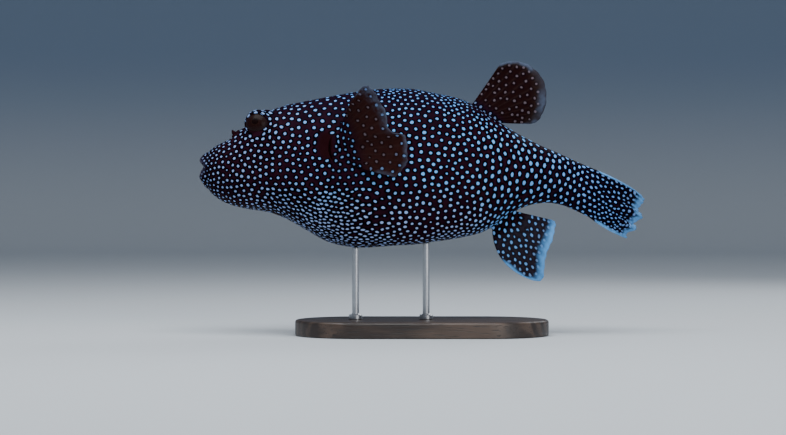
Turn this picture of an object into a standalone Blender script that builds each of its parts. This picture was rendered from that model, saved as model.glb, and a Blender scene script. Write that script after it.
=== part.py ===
"""Spotted (guineafowl) pufferfish, 40 cm long, as a still life-size model held on a display stand.

The fish faces -X with its left side towards -Y. Its body is lofted whole through named stations, as a hull is,
and parted by thin cuts into head, trunk and tail. Lengths are millimetres: s runs back from the tip of the
snout, y out from the middle plane and h up from the mouth. The origin is the middle of the stand's underside.
"""

import math

import bmesh
import bpy
import numpy as np
from mathutils import Matrix, Vector

MM = 0.001
HALF_LENGTH = 200.1
MOUTH_LEVEL = 151.0
GAP = 0.3

# Stations of the body: s, back, belly, half width, level of the widest place, squareness above and below it
STATIONS = {
    "snout": (0, 0.6, 0.6, 0, 0.6, 2.0, 2.0),
    "lips": (1, 9.5, -11.3, 8, -0.6, 2.0, 2.0),
    "gums": (4, 13.9, -17.2, 13, -1.7, 2.1, 2.0),
    "chin": (8.5, 16.8, -22, 17.5, -2.8, 2.2, 2.1),
    "nose": (17.5, 22.4, -28.8, 23.5, -3.2, 2.3, 2.1),
    "nostrils": (31, 28.5, -34.2, 30, -4, 2.4, 2.2),
    "brow": (45, 39, -37, 35.5, -2.5, 2.9, 2.3),
    "eyes": (58, 49, -39, 39.5, 0, 3.0, 2.4),
    "cheek": (76, 56.6, -45, 44, -1, 2.7, 2.4),
    "throat": (98, 61.2, -57.6, 47.5, -2, 2.4, 2.4),
    "gill": (116, 64.8, -66.5, 50, -3, 2.3, 2.4),
    "breast": (134, 68, -71.4, 51.7, -4.5, 2.2, 2.5),
    "shoulder": (165, 71.7, -70.5, 53, -7, 2.1, 2.5),
    "loin": (193, 70.6, -69, 52.3, -6, 2.1, 2.4),
    "flank": (222, 66, -65.2, 47.5, -4, 2.1, 2.3),
    "dorsal": (245, 58.5, -61, 41.5, -4, 2.0, 2.2),
    "vent": (262, 47.5, -54.5, 35.5, -4, 2.0, 2.1),
    "anal": (281, 35.2, -41, 29, -4, 2.0, 2.0),
    "wrist": (300, 23.8, -32.5, 22, -4.8, 2.0, 2.0),
    "stalk": (324, 11.5, -32.5, 16, -11, 2.0, 2.0),
    "tail_root": (352, -1, -44, 9.5, -22.5, 2.0, 2.0),
}
BODY_END = STATIONS["tail_root"][0]
TAIL_SWEEP, SWEEP_FROM = 9.0, 230.0
RINGS, ROUND = 37, 34

# The cuts that part the body, each by where it crosses the back and the belly
GILL_CUT = (112.0, 124.0)
TAIL_CUT = (300.0, 300.0)

EYE_S, EYE_Y, EYE_H = 52.5, 24.5, 40.0
EYE_RADIUS, EYE_DEPTH, LID, EYE_OPENING = 11.5, 9.5, 1.5, 5.2
EYE_LOOK = (-0.25, 1.0, 0.28)

MOUTH_H, MOUTH_SEMI = 0.6, (6.5, 11.0, 2.4)
BEAK_S, BEAK_HALF_WIDTH, BEAK_HEIGHT, BEAK_THICK = 4.0, 7.0, 6.0, 2.6

NOSTRIL_S, NOSTRIL_Y, NOSTRIL_HEIGHT = 29.0, 12.0, 6.0
GILL_S, GILL_H, GILL_SEMI = 118.5, 15.0, (3.2, 4.5, 11.0)

# Fins: s and h of both ends of the root, then s and h of the tips of the rays from the first to the last,
# how far the first ray bows forward, and the height of the waves and the lean of the margin to one side
DORSAL = ((244, 54.5), (270, 41), (271.5, 282, 295, 306, 312, 312.5, 309.5, 304.5, 298),
          (93, 96.5, 94, 86, 73.5, 60, 49.5, 42.5, 40.3), -1.5, 2.2, -2.0)
ANAL = ((264, -50), (283.5, -38.5), (293, 305, 311, 312, 316, 320, 321.5, 318.5),
        (-98.5, -102.5, -97, -82, -71, -59, -50, -46.8), 9.5, 2.6, 1.5)
CAUDAL_REACH, CAUDAL_DROP, CAUDAL_LOBE, CAUDAL_PLEAT, CAUDAL_PLEATS = (45.5, 31.0), (24.0, 19.5), 2.6, 3.4, 3.0
PECTORAL_ROOT_S, PECTORAL_ROOT_H = 131.0, (38.0, 3.0)
PECTORAL_TIPS = ((146, 153, 162, 168, 172, 182, 186.5, 185, 178), (87, 89, 89, 87, 84, 81, 77, 74, 70),
                 (70, 74, 66.5, 53, 37, 27, 14, 1, -11))
FAR_PECTORAL_DROP = 8.0
MARGIN = 0.4

BASE_LENGTH, BASE_WIDTH, BASE_THICK, BASE_EDGE = 230.0, 116.0, 14.0, 2.5
ROD_RADIUS, ROD_SINK = 3.2, 8.0
ROD_S = {"front": 140.0, "rear": 204.0}


def spline(knots, values):
    """A natural cubic spline through the values, which may be rows."""
    knots, values = np.array(knots, float), np.array(values, float)
    steps = np.diff(knots)
    slopes = (np.diff(values, axis=0).T / steps).T
    system, right = np.eye(len(knots)), np.zeros_like(values)
    for i in range(1, len(knots) - 1):
        system[i, i - 1 : i + 2] = steps[i - 1], 2 * (steps[i - 1] + steps[i]), steps[i]
        right[i] = 6 * (slopes[i] - slopes[i - 1])
    bend = np.linalg.solve(system, right)

    def value(at):
        i = int(np.clip(np.searchsorted(knots, at) - 1, 0, len(steps) - 1))
        before, after, step = at - knots[i], knots[i + 1] - at, steps[i]
        cubes = (bend[i] * after**3 + bend[i + 1] * before**3) / (6 * step)
        start, end = values[i] / step - bend[i] * step / 6, values[i + 1] / step - bend[i + 1] * step / 6
        return cubes + start * after + end * before

    return value


# The stations are joined over the root of s, which keeps the snout blunt and round
along_body = spline([math.sqrt(row[0]) for row in STATIONS.values()], [row[1:] for row in STATIONS.values()])


def shape(s):
    """Back, belly, half width, widest level and the two squarenesses at s."""
    return along_body(math.sqrt(max(s, 0.0)))


def placed(s, y, h):
    """A point of the fish in metres, in the frame of the stand."""
    return Vector(((s - HALF_LENGTH) * MM, y * MM, (h + MOUTH_LEVEL) * MM))


def sweep(s):
    """How far the tail bends to the right side at s."""
    return TAIL_SWEEP * (max(0.0, s - SWEEP_FROM) / (BODY_END - SWEEP_FROM)) ** 2


def section(s, turn, grow=0.0):
    """A point of the body's cross section: turn goes from 0 at the back, down the left side, round to 1."""
    back, belly, width, level, above, below = shape(s)
    up, out = math.cos(2 * math.pi * turn), -math.sin(2 * math.pi * turn)
    height, square = (back - level, above) if up >= 0 else (level - belly, below)
    y = math.copysign(abs(out) ** (2 / square), out) * (max(width, 0) + grow)
    h = level + math.copysign(abs(up) ** (2 / square), up) * (height + grow)
    return placed(s, y + sweep(s), h)


def width_at(s, h):
    """Half the body's width at s and the height h."""
    back, belly, width, level, above, below = shape(s)
    height, square = (back - level, above) if h >= level else (level - belly, below)
    return width * max(0.0, 1 - abs((h - level) / height) ** square) ** (1 / square)


def top_at(s, y):
    """The height of the upper surface at s, at the distance y from the middle."""
    back, _, width, level, above, _ = shape(s)
    return level + (back - level) * max(0.0, 1 - (y / width) ** above) ** (1 / above)


def surface(name, colour, roughness, metallic=0.0):
    """A plain material of the part's own colour."""
    material = bpy.data.materials.new(name)
    material.use_nodes = True
    shader = material.node_tree.nodes["Principled BSDF"]
    shader.inputs["Base Color"].default_value = (*colour, 1.0)
    shader.inputs["Roughness"].default_value = roughness
    shader.inputs["Metallic"].default_value = metallic
    return material


def finish(name, bm, material=None, smooth_deg=40):
    """Makes the bmesh an object with its faces out. With no material it is a cutter, or a shape to join on."""
    bmesh.ops.recalc_face_normals(bm, faces=bm.faces)
    mesh = bpy.data.meshes.new(name)
    bm.to_mesh(mesh)
    bm.free()
    mesh.shade_smooth()
    mesh.set_sharp_from_angle(angle=math.radians(smooth_deg))
    obj = bpy.data.objects.new(name, mesh)
    bpy.context.scene.collection.objects.link(obj)
    if material:
        mesh.materials.append(material)
    else:
        obj.hide_render, obj.display_type = True, "WIRE"
    return obj


def boolean(obj, other, operation="DIFFERENCE"):
    """Cuts the other shape from the object, or joins it on."""
    modifier = obj.modifiers.new(f"{operation.lower()}_{other.name}", "BOOLEAN")
    modifier.operation, modifier.object = operation, other


def body_mesh(grow=0.0):
    """The whole body, lofted through its sections and closed by a point at the snout and a flat at the tail."""
    bm = bmesh.new()
    rings = []
    for k in range(1, RINGS + 1):
        s = BODY_END * (k / RINGS) ** 1.5 + (grow if k == RINGS else 0.0)
        rings.append([bm.verts.new(section(s, i / ROUND, grow)) for i in range(ROUND)])
    tip = bm.verts.new(placed(-grow, 0, MOUTH_H))
    for i in range(ROUND):
        bm.faces.new((tip, rings[0][i - 1], rings[0][i]))
    for ahead, behind in zip(rings, rings[1:]):
        for i in range(ROUND):
            bm.faces.new((ahead[i - 1], behind[i - 1], behind[i], ahead[i]))
    bm.faces.new(rings[-1])
    return bm


def body_part(name, cuts, material):
    """The part of the body between the cuts, each a plane across it, with half the gap left at each."""
    bm = body_mesh()
    for (top_s, bottom_s), side in cuts:
        top, bottom = placed(top_s, 0, shape(top_s)[0]), placed(bottom_s, 0, shape(bottom_s)[1])
        kept = Vector((0, 1, 0)).cross(top - bottom).normalized() * side
        geometry = bm.verts[:] + bm.edges[:] + bm.faces[:]
        cut = bmesh.ops.bisect_plane(bm, geom=geometry, plane_co=top + kept * GAP * MM / 2, plane_no=-kept,
                                     clear_outer=True)
        bmesh.ops.contextual_create(bm, geom=[e for e in cut["geom_cut"] if isinstance(e, bmesh.types.BMEdge)])
    return finish(name, bm, material)


def ellipsoid(name, centre, semi, material=None, turn=None, across=20, down=12):
    """An ellipsoid of the semi-axes, along X, Y and Z before its turn."""
    bm = bmesh.new()
    bmesh.ops.create_uvsphere(bm, u_segments=across, v_segments=down, radius=1.0)
    turned = turn.to_4x4() if turn else Matrix.Identity(4)
    matrix = Matrix.Translation(centre) @ turned @ Matrix.Diagonal(Vector(semi) * MM).to_4x4()
    bmesh.ops.transform(bm, matrix=matrix, verts=bm.verts)
    return finish(name, bm, material)


def cylinder(name, centre, turn, radius, depth, material=None, segments=24):
    bm = bmesh.new()
    matrix = Matrix.Translation(centre) @ turn.to_4x4()
    bmesh.ops.create_cone(bm, cap_ends=True, segments=segments, radius1=radius * MM, radius2=radius * MM,
                          depth=depth * MM, matrix=matrix)
    return finish(name, bm, material, 30)


def eye(name, side, head, material):
    """A flattened eyeball in its socket, with the raised ring of skin that stands round it on the head."""
    centre = placed(EYE_S, side * EYE_Y, EYE_H)
    look = Vector((EYE_LOOK[0], side * EYE_LOOK[1], EYE_LOOK[2])).normalized()
    turn = look.to_track_quat("Z", "Y").to_matrix()
    ball, room = ((EYE_RADIUS + gap, EYE_RADIUS + gap, EYE_DEPTH + gap) for gap in (0, GAP))
    boolean(head, ellipsoid(f"lid_ring_{name}", centre, [EYE_RADIUS + LID] * 3, None, turn, 24, 14), "UNION")
    boolean(head, ellipsoid(f"socket_{name}", centre, room, None, turn))
    middle = centre + look * (EYE_OPENING + EYE_RADIUS / 2) * MM
    boolean(head, cylinder(f"opening_{name}", middle, turn, EYE_RADIUS + LID, EYE_RADIUS))
    ellipsoid(f"eye_{name}", centre, ball, material, turn, 18, 10)


def beak_plate(name, side, grow=0.0, material=None):
    """A bowed plate of teeth, deep in the middle, or the pocket that it stands in, which is larger by grow."""
    bm = bmesh.new()
    columns = []
    for i in range(9):
        across = i / 4 - 1
        bow = 2.2 * across**2
        edge = MOUTH_H + side * (0.35 - 2 * grow)
        root = MOUTH_H + side * (0.35 + BEAK_HEIGHT * (1 - 0.75 * across**2) + grow)
        front, rear = BEAK_S + bow - grow, BEAK_S + bow + BEAK_THICK + grow
        corners = ((front + 0.5, edge), (front, (edge + root) / 2), (front + 0.8, root), (rear, root), (rear, edge))
        y = across * (BEAK_HALF_WIDTH + grow)
        columns.append([bm.verts.new(placed(s, y, h)) for s, h in corners])
    for left, right in zip(columns, columns[1:]):
        for j in range(5):
            bm.faces.new((left[j - 1], left[j], right[j], right[j - 1]))
    bm.faces.new(columns[0])
    bm.faces.new(columns[-1])
    return finish(name, bm, material)


def mouth(head, material):
    """The slot between the lips, and the two plates of the beak behind it, each in its pocket in the jaw."""
    boolean(head, ellipsoid("mouth_slot", placed(0, 0, MOUTH_H), MOUTH_SEMI, None, None, 24, 10))
    for name, side in (("upper", 1), ("lower", -1)):
        beak_plate(f"beak_{name}", side, material=material)
        boolean(head, beak_plate(f"pocket_{name}", side, GAP))


def nostril(name, side, body, material):
    """The forked flap of skin over a nostril: two leaf-shaped lobes on one foot."""
    root = top_at(NOSTRIL_S, NOSTRIL_Y)
    foot = ellipsoid(f"nostril_{name}", placed(NOSTRIL_S, side * NOSTRIL_Y, root + 0.6), (2.6, 1.7, 2.2),
                     material, None, 10, 6)
    for fork, place in ((-1, "front"), (1, "back")):
        lean = Matrix.Rotation(math.radians(24 * fork - 8), 3, "Y")
        centre = placed(NOSTRIL_S - 0.4 + 1.4 * fork, side * NOSTRIL_Y, root + NOSTRIL_HEIGHT / 2 + 0.4)
        lobe = ellipsoid(f"lobe_{name}_{place}", centre, (1.15, 0.95, NOSTRIL_HEIGHT / 2), None, lean, 8, 6)
        boolean(foot, lobe, "UNION")
    boolean(foot, body)


def tips_curve(*rows):
    """A smooth curve through values spread evenly over 0 to 1."""
    values = np.array(rows, float).T
    return spline(np.linspace(0, 1, len(values)), values)


def middle_ray(front, rear, tips_s, tips_h, bow, ripple, lean):
    """The rays of a fin on the middle line, from its root on the back or the belly."""
    tips = tips_curve(tips_s, tips_h)

    def ray(a, t):
        tip_s, tip_h = tips(a)
        root_s, root_h = front[0] + (rear[0] - front[0]) * a, front[1] + (rear[1] - front[1]) * a
        length = math.hypot(tip_s - root_s, tip_h - root_h)
        forward = math.copysign(bow * (1 - a) ** 2 * 4 * t * (1 - t) / length, bow * (tip_h - root_h))
        s = root_s + (tip_s - root_s) * t - forward * (tip_h - root_h)
        h = root_h + (tip_h - root_h) * t + forward * (tip_s - root_s)
        return placed(s, t * t * (ripple * math.sin(2.6 * math.pi * a) + lean) + sweep(root_s), h)

    return ray


def caudal_ray(a, t):
    """A ray of the folded tail fin, from the upper edge to the lower, with its pleats."""
    back, belly = shape(BODY_END)[:2]
    turns = 2 * math.pi * CAUDAL_PLEATS * a**1.2
    lobe = CAUDAL_LOBE * t * math.cos(turns + 0.2)
    reach = CAUDAL_REACH[0] + (CAUDAL_REACH[1] - CAUDAL_REACH[0]) * a**1.6 + lobe
    drop = CAUDAL_DROP[0] + (CAUDAL_DROP[1] - CAUDAL_DROP[0]) * a
    fold = CAUDAL_PLEAT * math.sin(turns - 1.1) * math.sin(math.pi * (0.1 + 0.8 * a))
    y = sweep(BODY_END) + fold * t + TAIL_SWEEP * 0.9 * t * t
    h = back + (belly - back) * a - drop * t - 1.5 * math.sin(math.pi * t) * (2 * a - 1)
    return placed(BODY_END + GAP + reach * t, y, h)


def pectoral_ray(side, drop):
    """The rays of a breast fin, spread out from the flank behind the gill, the first one raised."""
    tips = tips_curve(*PECTORAL_TIPS)

    def ray(a, t):
        tip_s, tip_y, tip_h = tips(a)
        root_h = PECTORAL_ROOT_H[0] + (PECTORAL_ROOT_H[1] - PECTORAL_ROOT_H[0]) * a
        root_s = PECTORAL_ROOT_S - 3.0 * math.sin(math.pi * a)
        root = placed(root_s, side * (width_at(root_s, root_h) - 5.0), root_h)
        tip = placed(tip_s, side * tip_y, tip_h - drop * (1 - 0.5 * a))
        arch = math.sin(math.pi * t) * (1 - 0.6 * a)
        wave = 2.5 * t * t * math.sin(3.2 * math.pi * a)
        return root.lerp(tip, t) + Vector((-3 * arch, side * (4 * arch + wave), 0)) * MM

    return ray


def thinning(root, fleshy):
    """Half the thickness of a fin: fleshy at the middle of its root, and thin at the sides and the margin."""

    def half_thickness(a, t):
        return MARGIN + (root + fleshy * max(0.0, 1 - (2 * a - 1) ** 2) ** 0.4) * (1 - t) ** 3

    return half_thickness


def caudal_thickness(a, t):
    """Half the tail fin's thickness: that of the body's end at the root, and thin at the margin."""
    root = shape(BODY_END)[2] * math.sqrt(max(0.004, 1 - (2 * a - 1) ** 2))
    return MARGIN + 0.05 + (root - MARGIN) * (1 - t) ** 2.6


def fin(name, ray, half_thickness, material, body=None, rays=14, steps=7, paired=False):
    """A fin as a thin bent plate. ray(a, t) is its middle on ray a, from 0 to 1, at t from root to tip."""
    bm = bmesh.new()
    near, far = [], []
    nudge = 0.01
    sideways = Vector((0, 1, 0))
    for i in range(rays + 1):
        a = i / rays
        near.append([])
        far.append([])
        for j in range(steps + 1):
            t = j / steps
            along = ray(a, min(t + nudge, 1)) - ray(a, max(t - nudge, 0))
            across = ray(min(a + nudge, 1), t) - ray(max(a - nudge, 0), t)
            normal = along.cross(across).normalized()
            if not paired:
                normal = sideways.lerp(normal * math.copysign(1, normal.y), t).normalized()
            offset = normal * half_thickness(a, t) * MM
            near[i].append(bm.verts.new(ray(a, t) + offset))
            far[i].append(bm.verts.new(ray(a, t) - offset))
    for i in range(rays):
        for j in range(steps):
            for side in (near, far):
                bm.faces.new((side[i][j], side[i + 1][j], side[i + 1][j + 1], side[i][j + 1]))
        for j in (0, steps):
            bm.faces.new((near[i][j], far[i][j], far[i + 1][j], near[i + 1][j]))
    for i in (0, rays):
        for j in range(steps):
            bm.faces.new((near[i][j], far[i][j], far[i][j + 1], near[i][j + 1]))
    plate = finish(name, bm, material)
    if body:
        boolean(plate, body)


def stand_base(material):
    """A flat slab with round ends, its upper edge bevelled."""
    bm = bmesh.new()
    outline = []
    radius = BASE_WIDTH / 2
    for side in (1, -1):
        for i in range(19):
            angle = math.radians(10 * i - 90) + (0 if side > 0 else math.pi)
            x = side * (BASE_LENGTH / 2 - radius) + radius * math.cos(angle)
            outline.append(bm.verts.new((x * MM, radius * math.sin(angle) * MM, 0)))
    raised = bmesh.ops.extrude_face_region(bm, geom=[bm.faces.new(outline)])["geom"]
    top = {v for v in raised if isinstance(v, bmesh.types.BMVert)}
    bmesh.ops.translate(bm, vec=(0, 0, BASE_THICK * MM), verts=list(top))
    rim = [e for e in bm.edges if set(e.verts) <= top]
    bmesh.ops.bevel(bm, geom=rim, offset=BASE_EDGE * MM, segments=3, profile=0.5, affect="EDGES")
    return finish("stand_base", bm, material, 30)


def stand_rod(name, s, base, body, material):
    """A rod that is let into the base and ends just under the belly, cut to its curve."""
    upright = Matrix.Identity(3)
    foot, head = BASE_THICK - ROD_SINK, shape(s)[1] + MOUTH_LEVEL + 3.0
    x = (s - HALF_LENGTH) * MM
    rod = cylinder(f"stand_rod_{name}", (x, 0, (foot + head) / 2 * MM), upright, ROD_RADIUS, head - foot, material)
    boolean(rod, body)
    hole = cylinder(f"hole_{name}", (x, 0, (foot - GAP + head) / 2 * MM), upright, ROD_RADIUS + GAP,
                    head - foot + GAP)
    boolean(base, hole)


def build():
    for old in list(bpy.data.objects):
        bpy.data.objects.remove(old)
    skin = surface("skin", (0.030, 0.013, 0.016), 0.5)
    web = surface("fin", (0.045, 0.022, 0.020), 0.5)
    ball = surface("eye", (0.040, 0.018, 0.010), 0.1)
    enamel = surface("beak", (0.70, 0.62, 0.48), 0.35)
    wood = surface("stand_wood", (0.060, 0.045, 0.038), 0.4)
    steel = surface("stand_steel", (0.62, 0.62, 0.63), 0.3, 1.0)

    body = finish("body_grown", body_mesh(GAP))
    head = body_part("head", [(GILL_CUT, -1)], skin)
    trunk = body_part("trunk", [(GILL_CUT, 1), (TAIL_CUT, -1)], skin)
    body_part("tail", [(TAIL_CUT, 1)], skin)
    for name, side, drop in (("left", -1, 0.0), ("right", 1, FAR_PECTORAL_DROP)):
        eye(name, side, head, ball)
        nostril(name, side, body, skin)
        gill_centre = placed(GILL_S, side * width_at(GILL_S, GILL_H), GILL_H)
        gill = ellipsoid(f"gill_{name}", gill_centre, GILL_SEMI, None, None, 16, 10)
        boolean(head, gill)
        boolean(trunk, gill)
        fin(f"pectoral_fin_{name}", pectoral_ray(side, drop), thinning(1.2, 3.6), web, body, paired=True)
    mouth(head, enamel)
    fin("dorsal_fin", middle_ray(*DORSAL), thinning(1.2, 3.2), web, body)
    fin("anal_fin", middle_ray(*ANAL), thinning(1.2, 3.2), web, body)
    fin("caudal_fin", caudal_ray, caudal_thickness, web, rays=20, steps=8)
    base = stand_base(wood)
    for name, s in ROD_S.items():
        stand_rod(name, s, base, body, steel)


build()
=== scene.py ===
import math

import bmesh
import bpy
import numpy as np
from mathutils import Matrix, Vector, noise
from mathutils.bvhtree import BVHTree
from mathutils.kdtree import KDTree


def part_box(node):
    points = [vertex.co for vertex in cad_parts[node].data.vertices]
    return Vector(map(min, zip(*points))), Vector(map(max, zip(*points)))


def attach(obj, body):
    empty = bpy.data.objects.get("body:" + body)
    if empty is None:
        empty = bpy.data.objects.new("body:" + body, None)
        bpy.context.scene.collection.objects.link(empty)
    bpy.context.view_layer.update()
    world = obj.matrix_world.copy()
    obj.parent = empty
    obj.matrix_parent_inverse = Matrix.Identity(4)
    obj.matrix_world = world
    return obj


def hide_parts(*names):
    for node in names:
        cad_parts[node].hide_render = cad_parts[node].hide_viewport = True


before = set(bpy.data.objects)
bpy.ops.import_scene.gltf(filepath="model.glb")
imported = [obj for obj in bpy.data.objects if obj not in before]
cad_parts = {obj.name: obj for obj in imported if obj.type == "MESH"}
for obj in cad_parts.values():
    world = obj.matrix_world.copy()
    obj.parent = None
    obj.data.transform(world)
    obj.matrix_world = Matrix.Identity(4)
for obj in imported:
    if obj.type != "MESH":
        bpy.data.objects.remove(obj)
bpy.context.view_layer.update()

# ---------------------------------------------------------------------------------------------------------
# Camera, lamps and sweep. The fish is seen square on its left side, level with the lower half of its body,
# under one broad lamp overhead and two weaker ones. It stands in a wide round bowl of bent paper, pale on
# the floor and blue grey up the wall, so that it looks the same from every side.

VIEW_WIDTH, VIEW_DISTANCE, VIEW_MIDDLE = 0.713, 1.75, (-0.0262, 0.1064)
SENSOR_WIDTH = 36.0


def put(name, data):
    """A new object in the scene, at the origin."""
    made = bpy.data.objects.new(name, data)
    bpy.context.scene.collection.objects.link(made)
    return made


camera = put("camera", bpy.data.cameras.new("camera"))
camera.location = (VIEW_MIDDLE[0], -VIEW_DISTANCE, VIEW_MIDDLE[1])
camera.rotation_euler = (math.radians(90), 0, 0)
camera.data.sensor_width = SENSOR_WIDTH
camera.data.lens = SENSOR_WIDTH * VIEW_DISTANCE / VIEW_WIDTH
camera.data.clip_start = 0.05
bpy.context.scene.camera = camera


def lamp(name, place, target, size, watts, colour):
    light = bpy.data.lights.new(name, "AREA")
    light.shape, light.size, light.size_y = "RECTANGLE", size[0], size[1]
    light.energy, light.color = watts, colour
    holder = put(name, light)
    holder.location = place
    holder.rotation_euler = (Vector(target) - Vector(place)).to_track_quat("-Z", "Y").to_euler()


lamp("overhead_lamp", (-0.25, -0.55, 1.45), (0, 0, 0.15), (1.5, 0.9), 28.5, (0.93, 0.97, 1.0))
lamp("front_lamp", (0.95, -1.6, 0.6), (0, 0, 0.15), (1.0, 1.0), 12.0, (1.0, 0.99, 0.97))
lamp("back_lamp", (0.8, 0.9, 0.9), (0, 0, 0.16), (0.7, 0.7), 5.5, (0.95, 0.98, 1.0))
world = bpy.data.worlds.new("studio")
world.use_nodes = True
world.node_tree.nodes["Background"].inputs["Color"].default_value = (0.80, 0.86, 0.93, 1.0)
world.node_tree.nodes["Background"].inputs["Strength"].default_value = 0.5
bpy.context.scene.world = world

BOWL_FLOOR, BOWL_BEND, BOWL_HEIGHT, BOWL_SIDES = 4.2, 1.6, 4.5, 96
FLOOR_RINGS, FLOOR_RING_WIDTH, BEND_STEPS, FLOOR_DROP = 27, 0.15, 24, 0.0004
profile = [(FLOOR_RING_WIDTH * (1 + i), 0.0) for i in range(FLOOR_RINGS)]
for step in range(1, BEND_STEPS + 1):
    angle = math.radians(90 * step / BEND_STEPS)
    profile.append((BOWL_FLOOR + BOWL_BEND * math.sin(angle), BOWL_BEND * (1 - math.cos(angle))))
profile.append((BOWL_FLOOR + BOWL_BEND, BOWL_HEIGHT))
sweep_mesh = bpy.data.meshes.new("paper_sweep")
turns = [2 * math.pi * i / BOWL_SIDES for i in range(BOWL_SIDES)]
sweep_mesh.from_pydata(
    [(r * math.cos(turn), r * math.sin(turn), z - FLOOR_DROP) for r, z in profile for turn in turns],
    [], [tuple(range(BOWL_SIDES))] + [
        (k * BOWL_SIDES + i, (k + 1) * BOWL_SIDES + i, (k + 1) * BOWL_SIDES + (i + 1) % BOWL_SIDES,
         k * BOWL_SIDES + (i + 1) % BOWL_SIDES) for k in range(len(profile) - 1) for i in range(BOWL_SIDES)])
sweep_mesh.shade_smooth()
paper_sweep = put("paper_sweep", sweep_mesh)


def node_maker(tree):
    """Two functions: one adds a node, its inputs being values or other nodes' outputs, and one does sums."""

    def node(kind, inputs=(), **settings):
        made = tree.nodes.new(kind)
        for key, value in settings.items():
            setattr(made, key, value)
        for place, value in inputs.items() if isinstance(inputs, dict) else enumerate(inputs):
            if isinstance(value, bpy.types.NodeSocket):
                tree.links.new(value, made.inputs[place])
            elif value is not None:
                made.inputs[place].default_value = value
        return made

    def maths(operation, *values):
        return node("ShaderNodeMath", values, operation=operation).outputs[0]

    return node, maths


def new_paint(material):
    """A material's node adder and sums, its links, its shader, and the place on the piece."""
    material.use_nodes = True
    node, maths = node_maker(material.node_tree)
    shader = material.node_tree.nodes["Principled BSDF"]
    place = node("ShaderNodeTexCoord").outputs["Object"]
    return node, maths, material.node_tree.links, shader, place


def fade(value, low, high):
    """0 at low and 1 at high, smoothly."""
    return node("ShaderNodeMapRange", {"Value": value, "From Min": low, "From Max": high},
                interpolation_type="SMOOTHSTEP").outputs["Result"]


def blend(share, first, second):
    return node("ShaderNodeMix", {0: share, 6: first, 7: second}, data_type="RGBA").outputs[2]


def clouds_of(scale, detail, rough=0.5, where=None, twist=0.0):
    """Soft noise of about 0 to 1 over the piece."""
    return node("ShaderNodeTexNoise", {"Vector": where or place, "Scale": scale, "Detail": detail,
                                       "Roughness": rough, "Distortion": twist}).outputs[0]


def roughen(dulling, smoothest, roughest, height, strength, depth, most=1.0):
    """Roughness that follows one pattern between two values, and a bump that follows another."""
    rough = node("ShaderNodeMapRange", {"Value": dulling, "From Max": most, "To Min": smoothest,
                                        "To Max": roughest})
    links.new(rough.outputs[0], shader.inputs["Roughness"])
    bump = node("ShaderNodeBump", {"Strength": strength, "Distance": depth, "Height": height})
    links.new(bump.outputs["Normal"], shader.inputs["Normal"])


# The paper is pale on the floor and fades to a blue grey up the wall, with faint cloudy fibre.
FLOOR_PALE, WALL_BLUE, PULP_GREY = (0.60, 0.63, 0.66, 1), (0.24, 0.32, 0.44, 1), (0.45, 0.48, 0.52, 1)
paper = bpy.data.materials.new("sweep_paper")
node, maths, links, shader, place = new_paint(paper)
high = node("ShaderNodeSeparateXYZ", [place]).outputs["Z"]
pulp = clouds_of(9.0, 6.0, 0.7)
colour = blend(fade(high, 0.03, 0.75), FLOOR_PALE, WALL_BLUE)
colour = blend(maths("MULTIPLY", pulp, 0.08), colour, PULP_GREY)
links.new(colour, shader.inputs["Base Color"])
roughen(pulp, 0.78, 0.92, pulp, 0.1, 0.0003)
sweep_mesh.materials.append(paper)

# ---------------------------------------------------------------------------------------------------------
# The skin of the body: one loose, scaleless hide from the lips to the end of the tail fin. It is laid over
# the same stations as the solid body, ring by ring, and the tail fin grows out of its last ring.

# Stations of the body, in millimetres: s behind the snout, then back, belly, half width, level of the widest
# place, and the squareness of the section above and below it. h is the height over the mouth's own level.
STATIONS = {
    "snout": (0, 0.6, 0.6, 0, 0.6, 2.0, 2.0),
    "lips": (1, 9.5, -11.3, 8, -0.6, 2.0, 2.0),
    "gums": (4, 13.9, -17.2, 13, -1.7, 2.1, 2.0),
    "chin": (8.5, 16.8, -22, 17.5, -2.8, 2.2, 2.1),
    "nose": (17.5, 22.4, -28.8, 23.5, -3.2, 2.3, 2.1),
    "nostrils": (31, 28.5, -34.2, 30, -4, 2.4, 2.2),
    "brow": (45, 39, -37, 35.5, -2.5, 2.9, 2.3),
    "eyes": (58, 49, -39, 39.5, 0, 3.0, 2.4),
    "cheek": (76, 56.6, -45, 44, -1, 2.7, 2.4),
    "throat": (98, 61.2, -57.6, 47.5, -2, 2.4, 2.4),
    "gill": (116, 64.8, -66.5, 50, -3, 2.3, 2.4),
    "breast": (134, 68, -71.4, 51.7, -4.5, 2.2, 2.5),
    "shoulder": (165, 72.3, -70.5, 53, -7, 2.1, 2.5),
    "loin": (193, 71.5, -69, 52.3, -6, 2.1, 2.4),
    "flank": (222, 66, -65.2, 47.5, -4, 2.1, 2.3),
    "dorsal": (245, 58.5, -61, 41.5, -4, 2.0, 2.2),
    "vent": (262, 47.5, -54.5, 35.5, -4, 2.0, 2.1),
    "anal": (281, 35.2, -41, 29, -4, 2.0, 2.0),
    "wrist": (300, 25.0, -32.5, 22, -4.8, 2.0, 2.0),
    "stalk": (324, 13.8, -32.5, 16, -11, 2.0, 2.0),
    "tail_root": (352, 1.8, -44, 9.5, -22.5, 2.0, 2.0),
}
BODY_END = 352.0
MM = 0.001
SNOUT = (-200.1, 0, 151.0)
TAIL_SWEEP, SWEEP_FROM = 9.0, 230.0
AROUND, CAP_LEVELS, CAP_END = 200, 25, 3.0
TAIL_RINGS, NUDGE = 34, 0.01
CAUDAL_REACH, CAUDAL_DROP, CAUDAL_RAYS = (49.5, 33.5), (24.0, 19.5), 11
CAUDAL_LOBE, CAUDAL_PLEAT, CAUDAL_PLEATS, CAUDAL_HALF, CAUDAL_RIB = 2.6, 1.8, 3.0, 0.36, 0.22


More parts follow.
